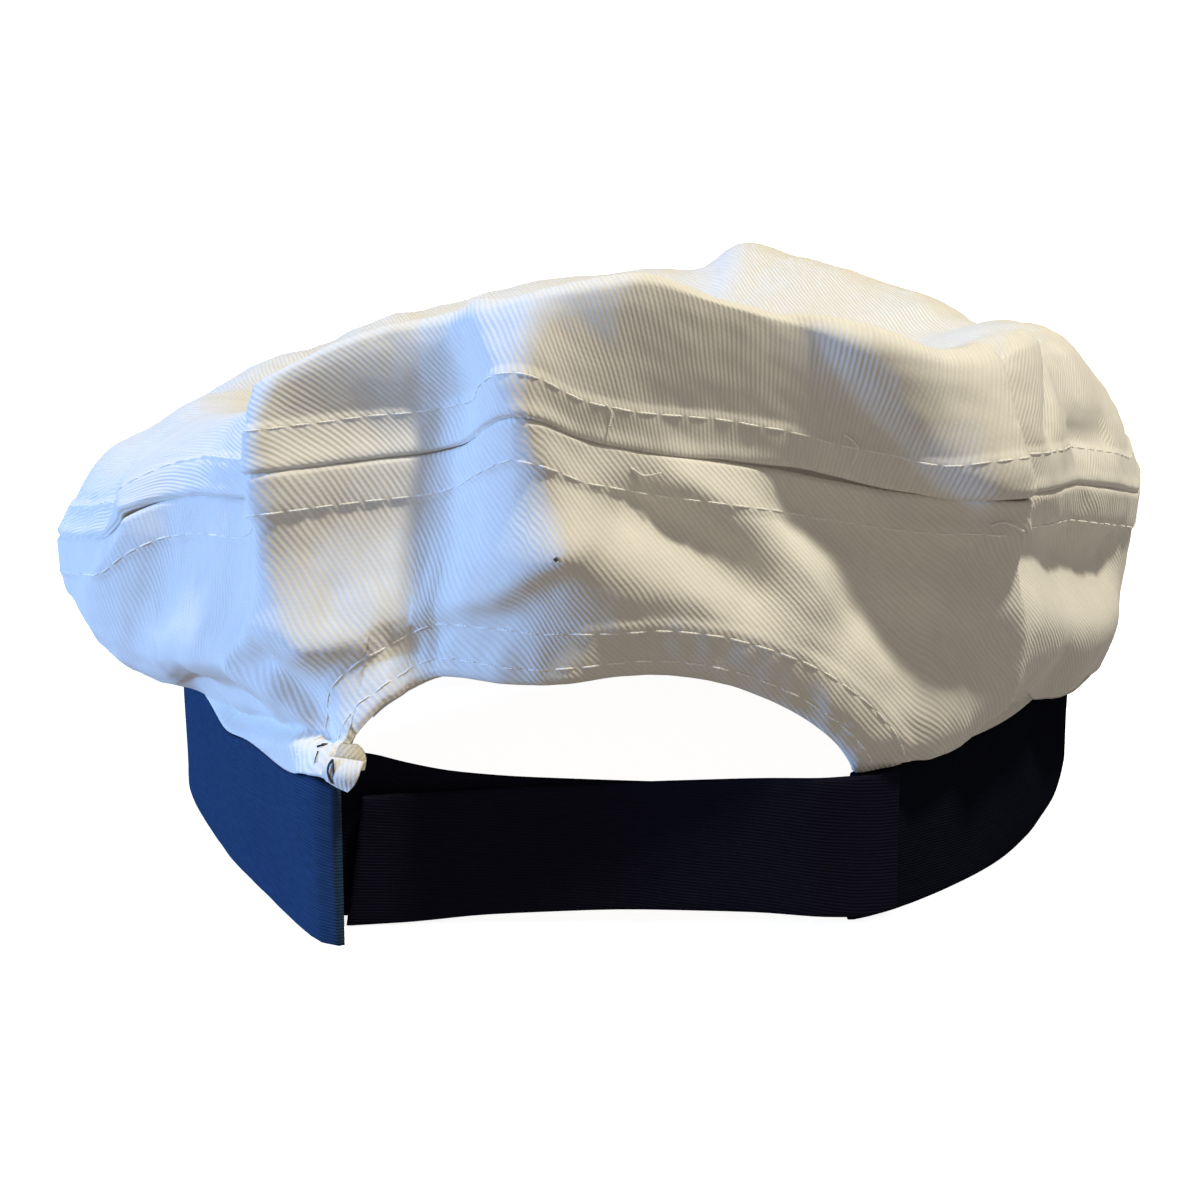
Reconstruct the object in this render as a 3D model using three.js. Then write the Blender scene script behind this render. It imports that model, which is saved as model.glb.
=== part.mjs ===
// Captain hat resting on its band: a soft white crown over a navy band and peak,
// with an arched opening and two overlapping straps at the back.
// Millimetres, +Z up, the peak towards -Y, the opening towards +Y, the wearer's left towards +X.
// Angles are in degrees round the head: 0 is the middle of the back and 90 the wearer's left.
import * as THREE from "three";

// Walls and gaps
const CROWN_WALL = 1.4;
const BAND_WALL = 2.4;
const STRAP_WALL = 1.6;
const FACING_WALL = 1.0;
const PEAK_WALL = 3.0;
const GAP = 0.3;

// Band: its ends flank the opening, and its lower edge lifts towards the front
const BAND_HEIGHT = 25.4;
const BAND_LEFT_END = 23.6;
const BAND_RIGHT_END = -28.5;
const FRONT_LIFT = 14;
const LIFT_START_Y = 40;
const LIFT_END_Y = -104;

// Arched opening in the side panel
const ARCH_HEIGHT = 45;
const ARCH_MIDDLE = -5;
const ARCH_LEFT = 24.6;
const ARCH_RIGHT = -28.6;
const ARCH_LEFT_CURVE = [4.2, 2.4];
const ARCH_RIGHT_CURVE = [2.0, 1.25];

// Strip of cloth sewn inside the arch
const FACING_SPAN = [-26, 22.6];

// Peak: a crescent under the front of the band, its front edge on the table
const PEAK_LENGTH = 46;
const PEAK_SPAN = [120, 240];
const PEAK_ROOT_INSET = 1.2;
const PEAK_CROWNING = 2.5;
const PEAK_TIP_LENGTH = 2;
const PEAK_FULLNESS = 0.9;

// Crown sections, a row for each angle: where the panel meets the band, the sag above
// the band, the seam between the side and top panels, and the rim where the top folds over
const SECTION_COLUMNS = [
  "angle", "bandRadius", "bellyRadius", "bellyHeight",
  "seamRadius", "seamHeight", "rimRadius", "rimHeight",
];
const SECTIONS = [
  [-180, 104.0, 109.0, 54.0, 113.0, 71.0, 94.5, 88.0],
  [-173, 103.8, 108.6, 54.0, 112.6, 71.0, 94.0, 88.0],
  [-166, 103.0, 108.0, 53.0, 112.0, 73.0, 97.0, 94.5],
  [-150, 98.5, 104.0, 46.0, 107.0, 70.0, 89.0, 90.5],
  [-125, 93.5, 97.0, 36.0, 101.0, 66.0, 83.0, 86.0],
  [-100, 88.0, 92.5, 27.0, 98.5, 59.0, 80.5, 87.5],
  [-87, 84.0, 91.0, 21.5, 96.0, 58.0, 81.0, 88.0],
  [-74, 81.6, 87.0, 22.0, 91.0, 63.0, 81.0, 89.5],
  [-64, 81.6, 84.0, 26.0, 89.0, 66.5, 81.0, 92.6],
  [-56, 82.5, 87.5, 31.5, 91.5, 68.0, 86.0, 96.0],
  [-49, 83.2, 90.0, 35.0, 95.0, 69.4, 89.0, 96.8],
  [-43.5, 84.1, 91.5, 38.3, 100.0, 71.3, 91.5, 95.2],
  [-38, 85.3, 91.0, 41.5, 100.0, 71.7, 92.5, 94.6],
  [-35, 86.0, 90.3, 43.3, 94.8, 70.8, 92.5, 95.0],
  [-31, 87.0, 89.6, 46.0, 92.5, 72.4, 92.0, 96.6],
  [-25, 86.8, 89.3, 49.0, 90.2, 75.0, 91.5, 100.0],
  [-19.5, 85.6, 89.8, 51.0, 89.2, 77.3, 93.8, 104.4],
  [-13, 84.3, 90.3, 52.5, 89.0, 79.2, 94.8, 107.8],
  [-5, 82.7, 91.5, 54.0, 89.3, 81.0, 95.4, 112.2],
  [2, 83.5, 93.0, 55.0, 92.0, 83.4, 92.0, 108.7],
  [6.5, 84.4, 92.0, 57.0, 96.0, 87.9, 87.0, 106.0],
  [11, 86.2, 89.5, 57.0, 91.5, 84.3, 86.0, 104.0],
  [16.5, 90.0, 84.0, 56.2, 81.5, 79.2, 80.8, 101.8],
  [20.5, 95.4, 83.6, 55.3, 80.6, 77.4, 80.8, 101.0],
  [24, 103.5, 86.0, 54.0, 83.0, 76.9, 82.5, 100.2],
  [29.5, 98.0, 91.5, 51.0, 88.6, 75.9, 87.5, 96.8],
  [34.8, 93.2, 95.0, 46.5, 97.2, 75.2, 94.0, 91.0],
  [40, 89.4, 88.0, 42.0, 88.0, 69.5, 85.0, 85.5],
  [46, 86.2, 84.0, 37.5, 82.8, 66.0, 78.5, 84.0],
  [57, 82.6, 84.0, 31.0, 84.0, 64.2, 76.0, 79.5],
  [64, 81.6, 86.0, 25.5, 87.5, 61.6, 76.0, 77.2],
  [67.5, 81.4, 89.0, 25.5, 91.5, 58.6, 76.4, 76.4],
  [71.5, 81.7, 92.5, 28.0, 94.0, 53.0, 77.0, 75.5],
  [90, 84.0, 104.5, 36.0, 107.5, 46.0, 80.0, 74.0],
  [106, 88.0, 105.5, 37.0, 109.0, 47.5, 80.0, 74.0],
  [126, 94.5, 104.0, 40.0, 107.0, 56.0, 84.5, 76.0],
  [150, 100.5, 106.5, 48.0, 110.5, 66.0, 91.0, 81.0],
  [168, 103.3, 108.5, 53.0, 113.0, 70.5, 93.5, 86.5],
];
const SECTION_REACH = 2.5;
const BAND_REACH = 4;

// Places down a section: -1 is the middle of the top, 0 the seam and 1 the band
const SIDE_STOPS = [0, 0.55, 0.8, 1];
const SIDE_REACH = 0.2;
const SKIRT_DOWN_SHARE = 0.556;
const SKIRT_OUT_SHARE = 0.3;
const SKIRT_ANGLE = 23;
const SKIRT_SPREAD = 11;
const TOP_STOPS = [-1, -0.86, -0.66, -0.42, -0.2, 0];
const TOP_REACH = 0.09;
const TOP_MIDDLE_HEIGHT = 79;
const TOP_DISC_SHARE = 0.24;
const TOP_RING_SHARE = 0.62;
const TOP_SAG = 4;
const TOP_RING_REACH = 26;
const LIP_INWARD_SHARE = 0.3;
const LIP_UPWARD_SHARE = 0.42;
const LIP_OUT = 1.2;
const CROWN_INSET = 0.2;
const FOLD_FADE_START = 0.8;
const TURN_STEP = 0.5;
const DOWN_STEP = 0.02;

// The hem flares outwards along the left of the arch
const FLARE_HEIGHT = 3.6;
const FLARE_WIDTH = 7;
const FLARE_RISE = [-4, 10];
const FLARE_FALL = [20, 28];
const FLARE_FALL_SHARE = 0.6;

// Folds of the cloth: a ridge (height above 0) or a dent along a line of places on the crown,
// each place an angle and how far down its section it is. Widths are how far the fold reaches
// to the right and to the left of someone who goes along its line.
const FOLDS = [
  { widths: [4, 9], height: 2.0, path: [[36.5, -0.4], [34.8, 0], [34.3, 0.25], [32.5, 0.51], [30.2, 0.63]] },
  { widths: [8, 6], height: 2.2, path: [[12.6, -0.42], [6.2, 0], [3.5, 0.42], [1.2, 0.56]] },
  { widths: [4, 9], height: 3.4, path: [[31, 0.63], [25, 0.65], [19.8, 0.76], [9, 0.71], [4.2, 0.53]] },
  { widths: [5, 6], height: 2.4, path: [[62.8, 0.5], [55.2, 0.57], [41, 0.65]] },
  { widths: [4, 4.5], height: 1.5, path: [[36.5, 0.5], [41.5, 0.6], [33.5, 0.76]] },
  { widths: [7, 7], height: 2.2, path: [[1.2, 0.48], [-4.8, 0.62], [-12.8, 0.7], [-18.8, 0.76]] },
  { widths: [6.5, 4.5], height: 2.8, path: [[-9, 0.13], [-21.5, 0.32], [-28.5, 0.56], [-40.2, 0.64]] },
  { widths: [5, 5], height: -2.8, path: [[-4, 0.26], [-10.2, 0.4], [-16, 0.56]] },
  { widths: [8.5, 8.5], height: -6.6, path: [[-23, 0.18], [-33, 0.35], [-43, 0.42]] },
  { widths: [9, 4], height: -1.2, path: [[-19.2, -0.42], [-30, -0.14], [-35, 0]] },
  { widths: [8, 9], height: 2.2, path: [[-26.5, -0.4], [-31, -0.26], [-40, -0.01]] },
  { widths: [9, 4], height: 2.4, path: [[-42.5, -0.4], [-43, 0], [-46.5, 0.16], [-51.5, 0.76]] },
  { widths: [4, 5], height: -2.6, path: [[-46.5, -0.42], [-48, -0.02]] },
  { widths: [4, 4], height: -2.4, path: [[-60, -0.4], [-53, -0.2]] },
  { widths: [4, 4], height: -2.0, path: [[-66, -0.15], [-76, -0.17]] },
  { widths: [5, 5], height: -3.0, path: [[-57, 0.09], [-80, 0.08]] },
  { widths: [7, 5], height: 3.2, path: [[-53, 0.19], [-70, 0.28]] },
  { widths: [4, 9], height: 2.2, path: [[73.2, -0.27], [68, 0.02], [76, 0.22]] },
  { widths: [6, 6], height: -2.4, path: [[30, -0.24], [17, -0.2]] },
  { widths: [22, 22], height: -3.0, path: [[60, -0.7], [-40, -0.68]] },
  { widths: [9, 9], height: 2.5, path: [[-166, -0.42], [-158, -0.72]] },
  { widths: [14, 14], height: 2.0, path: [[128, -0.55], [150, -0.8]] },
];
const FOLD_CENTRE = new THREE.Vector3(0, 0, 40);

// Plan of each strap, from the wearer's right: the middle of its wall and its two edges
const STRAP_STOPS = ["x", "y", "lower", "upper"];
const OUTER_STRAP = [
  [-48.9, 72.3, 1.0, 25.2],
  [-45.5, 75.4, 1.2, 25.5],
  [-42.2, 77.8, 1.4, 25.6],
  [-36.0, 79.6, 2.0, 25.7],
  [-26.0, 79.6, 2.7, 25.6],
  [-3.0, 79.1, 2.6, 24.3],
  [19.0, 79.6, 1.4, 23.0],
  [30.0, 80.9, 0.4, 22.6],
  [39.8, 82.6, 0.2, 22.3],
];
const INNER_STRAP = [
  [-45.2, 69.6, 3.0, 23.6],
  [-40.4, 73.0, 3.0, 23.6],
  [-36.0, 76.2, 3.0, 23.6],
  [-20.0, 77.3, 3.0, 23.8],
  [0.0, 77.0, 2.8, 24.0],
  [14.3, 77.2, 2.2, 24.4],
  [24.8, 77.9, 1.6, 25.4],
  [31.7, 78.7, 1.0, 27.0],
  [37.0, 79.2, 0.8, 28.6],
  [44.2, 80.2, 0.8, 29.5],
  [52.5, 71.0, 2.0, 25.0],
];
const STRAP_REACH = 0.05;

// Grid lines of the walls
const CROWN_SPANS = [
  [-100, ARCH_RIGHT, 25],
  [ARCH_RIGHT, ARCH_LEFT, 24],
  [ARCH_LEFT, 110, 30],
  [110, 260, 22],
];
const TOP_ROWS = [-0.95, -0.82, -0.68, -0.56, -0.48, -0.42, -0.36, -0.28, -0.2, -0.12, -0.05, 0];
const SIDE_ROWS = [0, 0.1, 0.21, 0.33, 0.45, 0.57, 0.69, 0.8, 0.9, 1];
const BAND_COLUMNS = 72;
const STRAP_COLUMNS = 32;
const FACING_ROWS = 4;
const ARCH_EDGE_POINTS = 80;
const ARCH_CROWDING = 0.5;
const PEAK_COLUMNS = 28;
const PEAK_ROWS = 6;

// Weights of the readings that round the corners of a table, at shares of the reach
const ROUNDING = [
  [-1, 1 / 16],
  [-0.5, 4 / 16],
  [0, 6 / 16],
  [0.5, 4 / 16],
  [1, 1 / 16],
];

const WHITE = { color: "#e8e2d6", roughness: 0.92, metalness: 0 };
const NAVY = { color: "#131a30", roughness: 0.88, metalness: 0 };

const radians = THREE.MathUtils.degToRad;
const clamp = THREE.MathUtils.clamp;
const lerp = THREE.MathUtils.lerp;

function evenly(count, from = 0, to = 1) {
  return Array.from({ length: count }, (_, i) => lerp(from, to, i / (count - 1)));
}

// A table read in straight lines, carried on past its ends
function reading(keys, values, at) {
  let i = 1;
  while (i < keys.length - 1 && keys[i] < at) {
    i += 1;
  }
  return lerp(values[i - 1], values[i], (at - keys[i - 1]) / (keys[i] - keys[i - 1]));
}

// The same reading with its corners rounded over a reach to either side
function rounded(keys, values, at, reach) {
  return ROUNDING.reduce(
    (sum, [share, weight]) => sum + weight * reading(keys, values, at + share * reach),
    0,
  );
}

// Section columns, repeated a turn before and after so that readings close round the head
const TURNS = [-360, 0, 360].flatMap((turn) =>
  SECTIONS.map(([angle, ...lengths]) => [angle + turn, ...lengths]),
);
const SECTION_LISTS = Object.fromEntries(
  SECTION_COLUMNS.map((name, i) => [name, TURNS.map((row) => row[i])]),
);

function section(name, angle, reach = SECTION_REACH) {
  return rounded(SECTION_LISTS.angle, SECTION_LISTS[name], angle, reach);
}

function placed(angle, radius, height) {
  const turn = radians(angle);
  return new THREE.Vector3(radius * Math.sin(turn), radius * Math.cos(turn), height);
}

function bandRadius(angle) {
  return section("bandRadius", angle, BAND_REACH);
}

function bandLower(angle) {
  const y = bandRadius(angle) * Math.cos(radians(angle));
  return FRONT_LIFT * THREE.MathUtils.smoothstep(LIFT_START_Y - y, 0, LIFT_START_Y - LIFT_END_Y);
}

function bandUpper(angle) {
  return bandLower(angle) + BAND_HEIGHT;
}

// Height of the arch at an angle, or of the band's upper edge beside it
function archHeight(angle) {
  const base = bandUpper(angle) + GAP;
  const left = angle >= ARCH_MIDDLE;
  const end = left ? ARCH_LEFT : ARCH_RIGHT;
  const [fall, flatness] = left ? ARCH_LEFT_CURVE : ARCH_RIGHT_CURVE;
  const share = clamp((angle - ARCH_MIDDLE) / (end - ARCH_MIDDLE), 0, 1);
  return base + (ARCH_HEIGHT - base) * (1 - share ** fall) ** (1 / flatness);
}

// The stop at which the side panel ends: the last one at the band, sooner over the arch
function panelEnd(angle) {
  const base = bandUpper(angle) + GAP;
  const inArch = angle > ARCH_RIGHT && angle < ARCH_LEFT;
  const rise = inArch ? (archHeight(angle) - base) / (section("bellyHeight", angle) - base) : 0;
  return 1 - rise * (1 - SIDE_STOPS[1]);
}

// The side panel at a stop: 0 is the seam and 1 the band
function sidePoint(angle, stop) {
  const base = bandUpper(angle) + GAP;
  const foot = bandRadius(angle) - CROWN_INSET;
  const belly = section("bellyRadius", angle);
  const bellyHeight = section("bellyHeight", angle);
  const corner = Math.exp(-(((angle - SKIRT_ANGLE) / SKIRT_SPREAD) ** 2));
  const skirt = lerp(belly, foot, lerp(SKIRT_DOWN_SHARE, SKIRT_OUT_SHARE, corner));
  const skirtHeight = lerp(bellyHeight, base, SKIRT_DOWN_SHARE);
  const radii = [section("seamRadius", angle), belly, skirt, foot];
  const heights = [section("seamHeight", angle), bellyHeight, skirtHeight, base];
  const radius = rounded(SIDE_STOPS, radii, stop, SIDE_REACH);
  const height = rounded(SIDE_STOPS, heights, stop, SIDE_REACH);
  return placed(angle, radius, height);
}

// The top panel, from its middle at -1 to the seam at 0
function topPoint(angle, down) {
  const seamRadius = section("seamRadius", angle);
  const seamHeight = section("seamHeight", angle);
  const rimRadius = section("rimRadius", angle);
  const rimHeight = section("rimHeight", angle);
  const ringHeight = section("rimHeight", angle, TOP_RING_REACH);
  const radii = [
    0,
    TOP_DISC_SHARE * rimRadius,
    TOP_RING_SHARE * rimRadius,
    rimRadius,
    lerp(seamRadius, rimRadius, LIP_INWARD_SHARE) + LIP_OUT,
    seamRadius,
  ];
  const heights = [
    TOP_MIDDLE_HEIGHT,
    TOP_MIDDLE_HEIGHT,
    lerp(TOP_MIDDLE_HEIGHT, ringHeight, TOP_RING_SHARE) - TOP_SAG,
    rimHeight,
    lerp(seamHeight, rimHeight, LIP_UPWARD_SHARE),
    seamHeight,
  ];
  const radius = rounded(TOP_STOPS, radii, down, TOP_REACH);
  const height = rounded(TOP_STOPS, heights, down, TOP_REACH);
  return placed(angle, radius, height);
}

// The smooth crown, from the middle of the top at -1 to the band or the arch at 1
function crownPoint(angle, down) {
  return down < 0 ? topPoint(angle, down) : sidePoint(angle, down * panelEnd(angle));
}

// Its outward direction, from short steps round the head and down the section
function crownOutward(angle, down) {
  const stop = down < 0 ? down : down * panelEnd(angle);
  const beside = (turn, step) =>
    down < 0
      ? topPoint(angle + turn, Math.min(stop + step, 0))
      : sidePoint(angle + turn, Math.max(stop + step, 0));
  const along = beside(TURN_STEP, 0).sub(beside(-TURN_STEP, 0));
  const below = beside(0, DOWN_STEP).sub(beside(0, -DOWN_STEP));
  return along.cross(below).normalize();
}

const FOLD_LINES = FOLDS.map(({ widths, height, path }) => {
  const places = path.map(([angle, down]) => crownPoint(angle, down));
  const lines = places.slice(1).map((place, i) => new THREE.Line3(places[i], place));
  return { widths, height, lines };
});

// Which side of a line a point is on, seen from outside the crown: -1 is right and 1 is left
function sideOf(line, point, offset) {
  const along = line.delta(new THREE.Vector3()).normalize();
  const out = point.clone().sub(FOLD_CENTRE).normalize();
  return along.cross(offset).dot(out) / Math.max(offset.length(), Number.EPSILON);
}

// Height of all folds at a point, falling off on either side of each fold's line
function foldHeight(point) {
  let sum = 0;
  for (const { widths, height, lines } of FOLD_LINES) {
    const offsets = lines.map((line) =>
      point.clone().sub(line.closestPointToPoint(point, true, new THREE.Vector3())),
    );
    const distances = offsets.map((offset) => offset.length());
    const distance = Math.min(...distances);
    const nearest = distances.indexOf(distance);
    const side = sideOf(lines[nearest], point, offsets[nearest]);
    const width = lerp(...widths, 0.5 + 0.5 * side);
    sum += height * Math.exp(-((distance / width) ** 2));
  }
  return sum;
}

// How far the hem flares out, by the distance from the arch's edge
const ARCH_EDGE = evenly(ARCH_EDGE_POINTS, ARCH_RIGHT, ARCH_LEFT).map((angle) => crownPoint(angle, 1));

function hemFlare(angle, point) {
  const distance = Math.min(...ARCH_EDGE.map((edge) => edge.distanceTo(point)));
  const rise = THREE.MathUtils.smoothstep(angle, ...FLARE_RISE);
  const fall = FLARE_FALL_SHARE * THREE.MathUtils.smoothstep(angle, ...FLARE_FALL);
  return FLARE_HEIGHT * rise * (1 - fall) * Math.exp(-((distance / FLARE_WIDTH) ** 2));
}

function moved(rows, directions, distance) {
  return rows.map((row, j) =>
    row.map((point, i) => point.clone().addScaledVector(directions[j][i], distance(j, i))),
  );
}

// One closed body between an outer and an inner grid of the same layout.
// Poles close the first rows of both grids at one point each.
function closedWall(outer, inner, { closed = false, poles = [] } = {}) {
  const across = outer[0].length;
  const lastRow = outer.length - 1;
  const lastColumn = across - 1;
  const points = [...outer.flat(), ...inner.flat(), ...poles];
  const outerPole = 2 * across * outer.length;
  const innerPole = outerPole + 1;
  const faces = [];
  const out = (j, i) => j * across + (i % across);
  const back = (j, i) => across * outer.length + out(j, i);
  const quad = (a, b, c, d) => faces.push(a, b, c, a, c, d);
  for (let i = 0; i < (closed ? across : lastColumn); i += 1) {
    for (let j = 0; j < lastRow; j += 1) {
      quad(out(j, i), out(j, i + 1), out(j + 1, i + 1), out(j + 1, i));
      quad(back(j, i), back(j + 1, i), back(j + 1, i + 1), back(j, i + 1));
    }
    quad(out(lastRow, i), out(lastRow, i + 1), back(lastRow, i + 1), back(lastRow, i));
    if (poles.length) {
      faces.push(outerPole, out(0, i + 1), out(0, i));
      faces.push(innerPole, back(0, i), back(0, i + 1));
    } else {
      quad(out(0, i + 1), out(0, i), back(0, i), back(0, i + 1));
    }
  }
  for (let j = 0; !closed && j < lastRow; j += 1) {
    quad(out(j, 0), out(j + 1, 0), back(j + 1, 0), back(j, 0));
    quad(out(j + 1, lastColumn), out(j, lastColumn), back(j, lastColumn), back(j + 1, lastColumn));
  }
  const geometry = new THREE.BufferGeometry().setFromPoints(points);
  geometry.setIndex(faces);
  geometry.computeVertexNormals();
  return geometry;
}

// Crown grid: every angle of the spans, with the arch's columns drawn together at its ends
function spanAngles([from, to, count]) {
  const inArch = from === ARCH_RIGHT;
  return Array.from({ length: count }, (_, i) => {
    const share = i / count;
    const eased = 0.5 - 0.5 * Math.cos(Math.PI * share);
    return lerp(from, to, inArch ? lerp(share, eased, ARCH_CROWDING) : share);
  });
}

const CROWN_ANGLES = CROWN_SPANS.flatMap(spanAngles);
const CROWN_ROWS = [...TOP_ROWS, ...SIDE_ROWS.slice(1)];
const SEAM_ROW = TOP_ROWS.length - 1;
const HEM_ROW = CROWN_ROWS.length - 1;

const smoothCrown = CROWN_ROWS.map((down) => CROWN_ANGLES.map((angle) => crownPoint(angle, down)));
const crownFacing = CROWN_ROWS.map((down) => CROWN_ANGLES.map((angle) => crownOutward(angle, down)));
const crownOuter = moved(smoothCrown, crownFacing, (j, i) => {
  const point = smoothCrown[j][i];
  const held = 1 - THREE.MathUtils.smoothstep(CROWN_ROWS[j], FOLD_FADE_START, 1);
  const flare = j > SEAM_ROW ? hemFlare(CROWN_ANGLES[i], point) : 0;
  return held * foldHeight(point) + flare;
});
const crownInner = moved(crownOuter, crownFacing, () => -CROWN_WALL);
for (const [i, point] of crownInner[HEM_ROW].entries()) {
  point.z = Math.max(point.z, crownOuter[HEM_ROW][i].z);
}

// A copy of rows whose edge row draws back from the seam by half a gap
function trimmed(rows, edge, next) {
  return rows.map((row, j) =>
    row.map((point, i) => {
      const away = rows[next][i].clone().sub(point).normalize();
      return j === edge ? point.clone().addScaledVector(away, GAP / 2) : point;
    }),
  );
}

function topPanel() {
  const outer = trimmed(crownOuter.slice(0, SEAM_ROW + 1), SEAM_ROW, SEAM_ROW - 1);
  const inner = trimmed(crownInner.slice(0, SEAM_ROW + 1), SEAM_ROW, SEAM_ROW - 1);
  const middle = crownPoint(0, -1);
  middle.z += foldHeight(middle);
  const under = middle.clone().setZ(middle.z - CROWN_WALL);
  return closedWall(outer, inner, { closed: true, poles: [middle, under] });
}

function sidePanel() {
  const outer = trimmed(crownOuter.slice(SEAM_ROW), 0, 1);
  const inner = trimmed(crownInner.slice(SEAM_ROW), 0, 1);
  return closedWall(outer, inner, { closed: true });
}

// The strip behind the arch follows the last rows of the side panel
function archFacing() {
  const [from, to] = FACING_SPAN;
  const kept = (rows) =>
    rows.slice(-FACING_ROWS).map((row) =>
      row.filter((_, i) => CROWN_ANGLES[i] >= from && CROWN_ANGLES[i] <= to),
    );
  const outer = moved(crownInner, crownFacing, () => -GAP);
  const inner = moved(crownInner, crownFacing, () => -GAP - FACING_WALL);
  return closedWall(kept(outer), kept(inner));
}

// Upright walls follow a line in plan: an angle or share gives a point and its two heights
function uprightWall(plan, wall, outerShare) {
  const middle = plan.map(({ foot }) => foot);
  const outer = [];
  const inner = [];
  for (const [i, { foot, lower, upper }] of plan.entries()) {
    const before = middle[Math.max(i - 1, 0)];
    const after = middle[Math.min(i + 1, middle.length - 1)];
    const side = new THREE.Vector2(before.y - after.y, after.x - before.x).normalize();
    const shifted = (distance, height) =>
      new THREE.Vector3(foot.x + distance * side.x, foot.y + distance * side.y, height);
    outer.push([shifted(outerShare * wall, upper), shifted(outerShare * wall, lower)]);
    inner.push([shifted((outerShare - 1) * wall, upper), shifted((outerShare - 1) * wall, lower)]);
  }
  const rowsOf = (columns) => [0, 1].map((j) => columns.map((column) => column[j]));
  return closedWall(rowsOf(outer), rowsOf(inner));
}

function band() {
  const angles = evenly(BAND_COLUMNS, BAND_LEFT_END, BAND_RIGHT_END + 360);
  const plan = angles.map((angle) => ({
    foot: placed(angle, bandRadius(angle), 0),
    lower: bandLower(angle),
    upper: bandUpper(angle),
  }));
  return uprightWall(plan, BAND_WALL, 0);
}

function strap(stops) {
  const keys = evenly(stops.length);
  const lists = Object.fromEntries(STRAP_STOPS.map((name, i) => [name, stops.map((row) => row[i])]));
  const plan = evenly(STRAP_COLUMNS).map((share) => {
    const read = (name) => rounded(keys, lists[name], share, STRAP_REACH);
    return {
      foot: new THREE.Vector3(read("x"), read("y"), 0),
      lower: read("lower"),
      upper: read("upper"),
    };
  });
  return uprightWall(plan, STRAP_WALL, 0.5);
}

function peak() {
  const angles = evenly(PEAK_COLUMNS, ...PEAK_SPAN);
  const shares = evenly(PEAK_COLUMNS);
  const upper = evenly(PEAK_ROWS).map((reach) =>
    angles.map((angle, i) => {
      const fullness = Math.sin(Math.PI * shares[i]) ** PEAK_FULLNESS;
      const length = lerp(PEAK_TIP_LENGTH, PEAK_LENGTH, fullness);
      const root = bandLower(angle) - GAP;
      const edge = lerp(root, PEAK_WALL, fullness);
      const bow = PEAK_CROWNING * fullness * Math.sin(Math.PI * reach);
      const radius = bandRadius(angle) - PEAK_ROOT_INSET + length * reach;
      return placed(angle, radius, lerp(root, edge, reach) + bow);
    }),
  );
  const lower = upper.map((row) => row.map((point) => point.clone().setZ(point.z - PEAK_WALL)));
  return closedWall(upper, lower);
}

const PIECES = [
  ["crown_top", topPanel(), WHITE],
  ["crown_side", sidePanel(), WHITE],
  ["arch_facing", archFacing(), WHITE],
  ["band", band(), NAVY],
  ["strap_outer", strap(OUTER_STRAP), NAVY],
  ["strap_inner", strap(INNER_STRAP), NAVY],
  ["peak", peak(), NAVY],
];

const pieces = new THREE.Group();
for (const [name, geometry, finish] of PIECES) {
  const mesh = new THREE.Mesh(geometry, new THREE.MeshStandardMaterial(finish));
  mesh.name = name;
  pieces.add(mesh);
}

// The hat stands with the middle of its box over the origin
const box = new THREE.Box3().setFromObject(pieces);
const centre = box.getCenter(new THREE.Vector3());
pieces.position.set(-centre.x, -centre.y, -box.min.z);

const hat = new THREE.Group();
hat.add(pieces);
export default hat;
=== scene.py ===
"""Dresses the captain hat: white twill crown, navy band, straps and peak, threads and studio.

Lengths in the tables are millimetres in the hat's own frame: +Z up, the peak towards -Y, the
arched opening towards +Y, the wearer's left towards +X. Angles are degrees round the head: 0 is
the middle of the back and 90 the wearer's left.
"""

import logging
import math
from dataclasses import dataclass, field
from enum import Enum
from typing import Any, Callable, Mapping, Sequence

import bpy
import numpy as np
from mathutils import Matrix, Vector


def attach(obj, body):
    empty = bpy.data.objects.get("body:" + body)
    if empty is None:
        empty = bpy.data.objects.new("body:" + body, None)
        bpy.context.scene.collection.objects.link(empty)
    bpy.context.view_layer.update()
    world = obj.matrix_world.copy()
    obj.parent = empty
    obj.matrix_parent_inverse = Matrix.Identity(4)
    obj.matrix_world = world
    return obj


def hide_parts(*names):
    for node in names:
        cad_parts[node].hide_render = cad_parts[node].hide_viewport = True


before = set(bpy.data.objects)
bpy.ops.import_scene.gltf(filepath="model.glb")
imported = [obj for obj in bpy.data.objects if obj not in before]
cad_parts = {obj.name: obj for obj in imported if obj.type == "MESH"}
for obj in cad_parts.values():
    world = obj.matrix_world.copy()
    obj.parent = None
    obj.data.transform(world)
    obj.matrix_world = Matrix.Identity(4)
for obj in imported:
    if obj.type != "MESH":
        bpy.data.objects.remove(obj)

LOG = logging.getLogger("captain_hat")
Array = np.ndarray
Colour = tuple[float, float, float]

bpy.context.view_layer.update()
BODY = "root"
MM = 0.001
CLOTH_MAP = "cloth"
# The head's axis in the part's frame: the part's origin is the middle of the hat's box.
HEAD_AXIS = np.array((-5.214, 24.610, 0.0))

# Readings that round the corners of a table: shares of the reach, and their weights.
ROUNDING = ((-1.0, 1 / 16), (-0.5, 4 / 16), (0.0, 6 / 16), (0.5, 4 / 16), (1.0, 1 / 16))


class Thread(Enum):
    """Sewing threads of the hat."""

    WHITE = "white_thread"
    NAVY = "navy_thread"


class Slot(Enum):
    """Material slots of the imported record."""

    WHITE_TWILL = "white_twill"
    NAVY_TWILL = "navy_twill"
    NAVY_TAPE = "navy_tape"


def smoothstep(low: float, high: float, at: Array) -> Array:
    """Rise smoothly from 0 at low to 1 at high, by 3t^2 - 2t^3.

    Args:
        low: Where the rise starts.
        high: Where it ends.
        at: Places to read.

    Returns:
        The rise at each place.
    """
    share = np.clip((at - low) / (high - low), 0.0, 1.0)
    return share * share * (3.0 - 2.0 * share)


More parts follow.
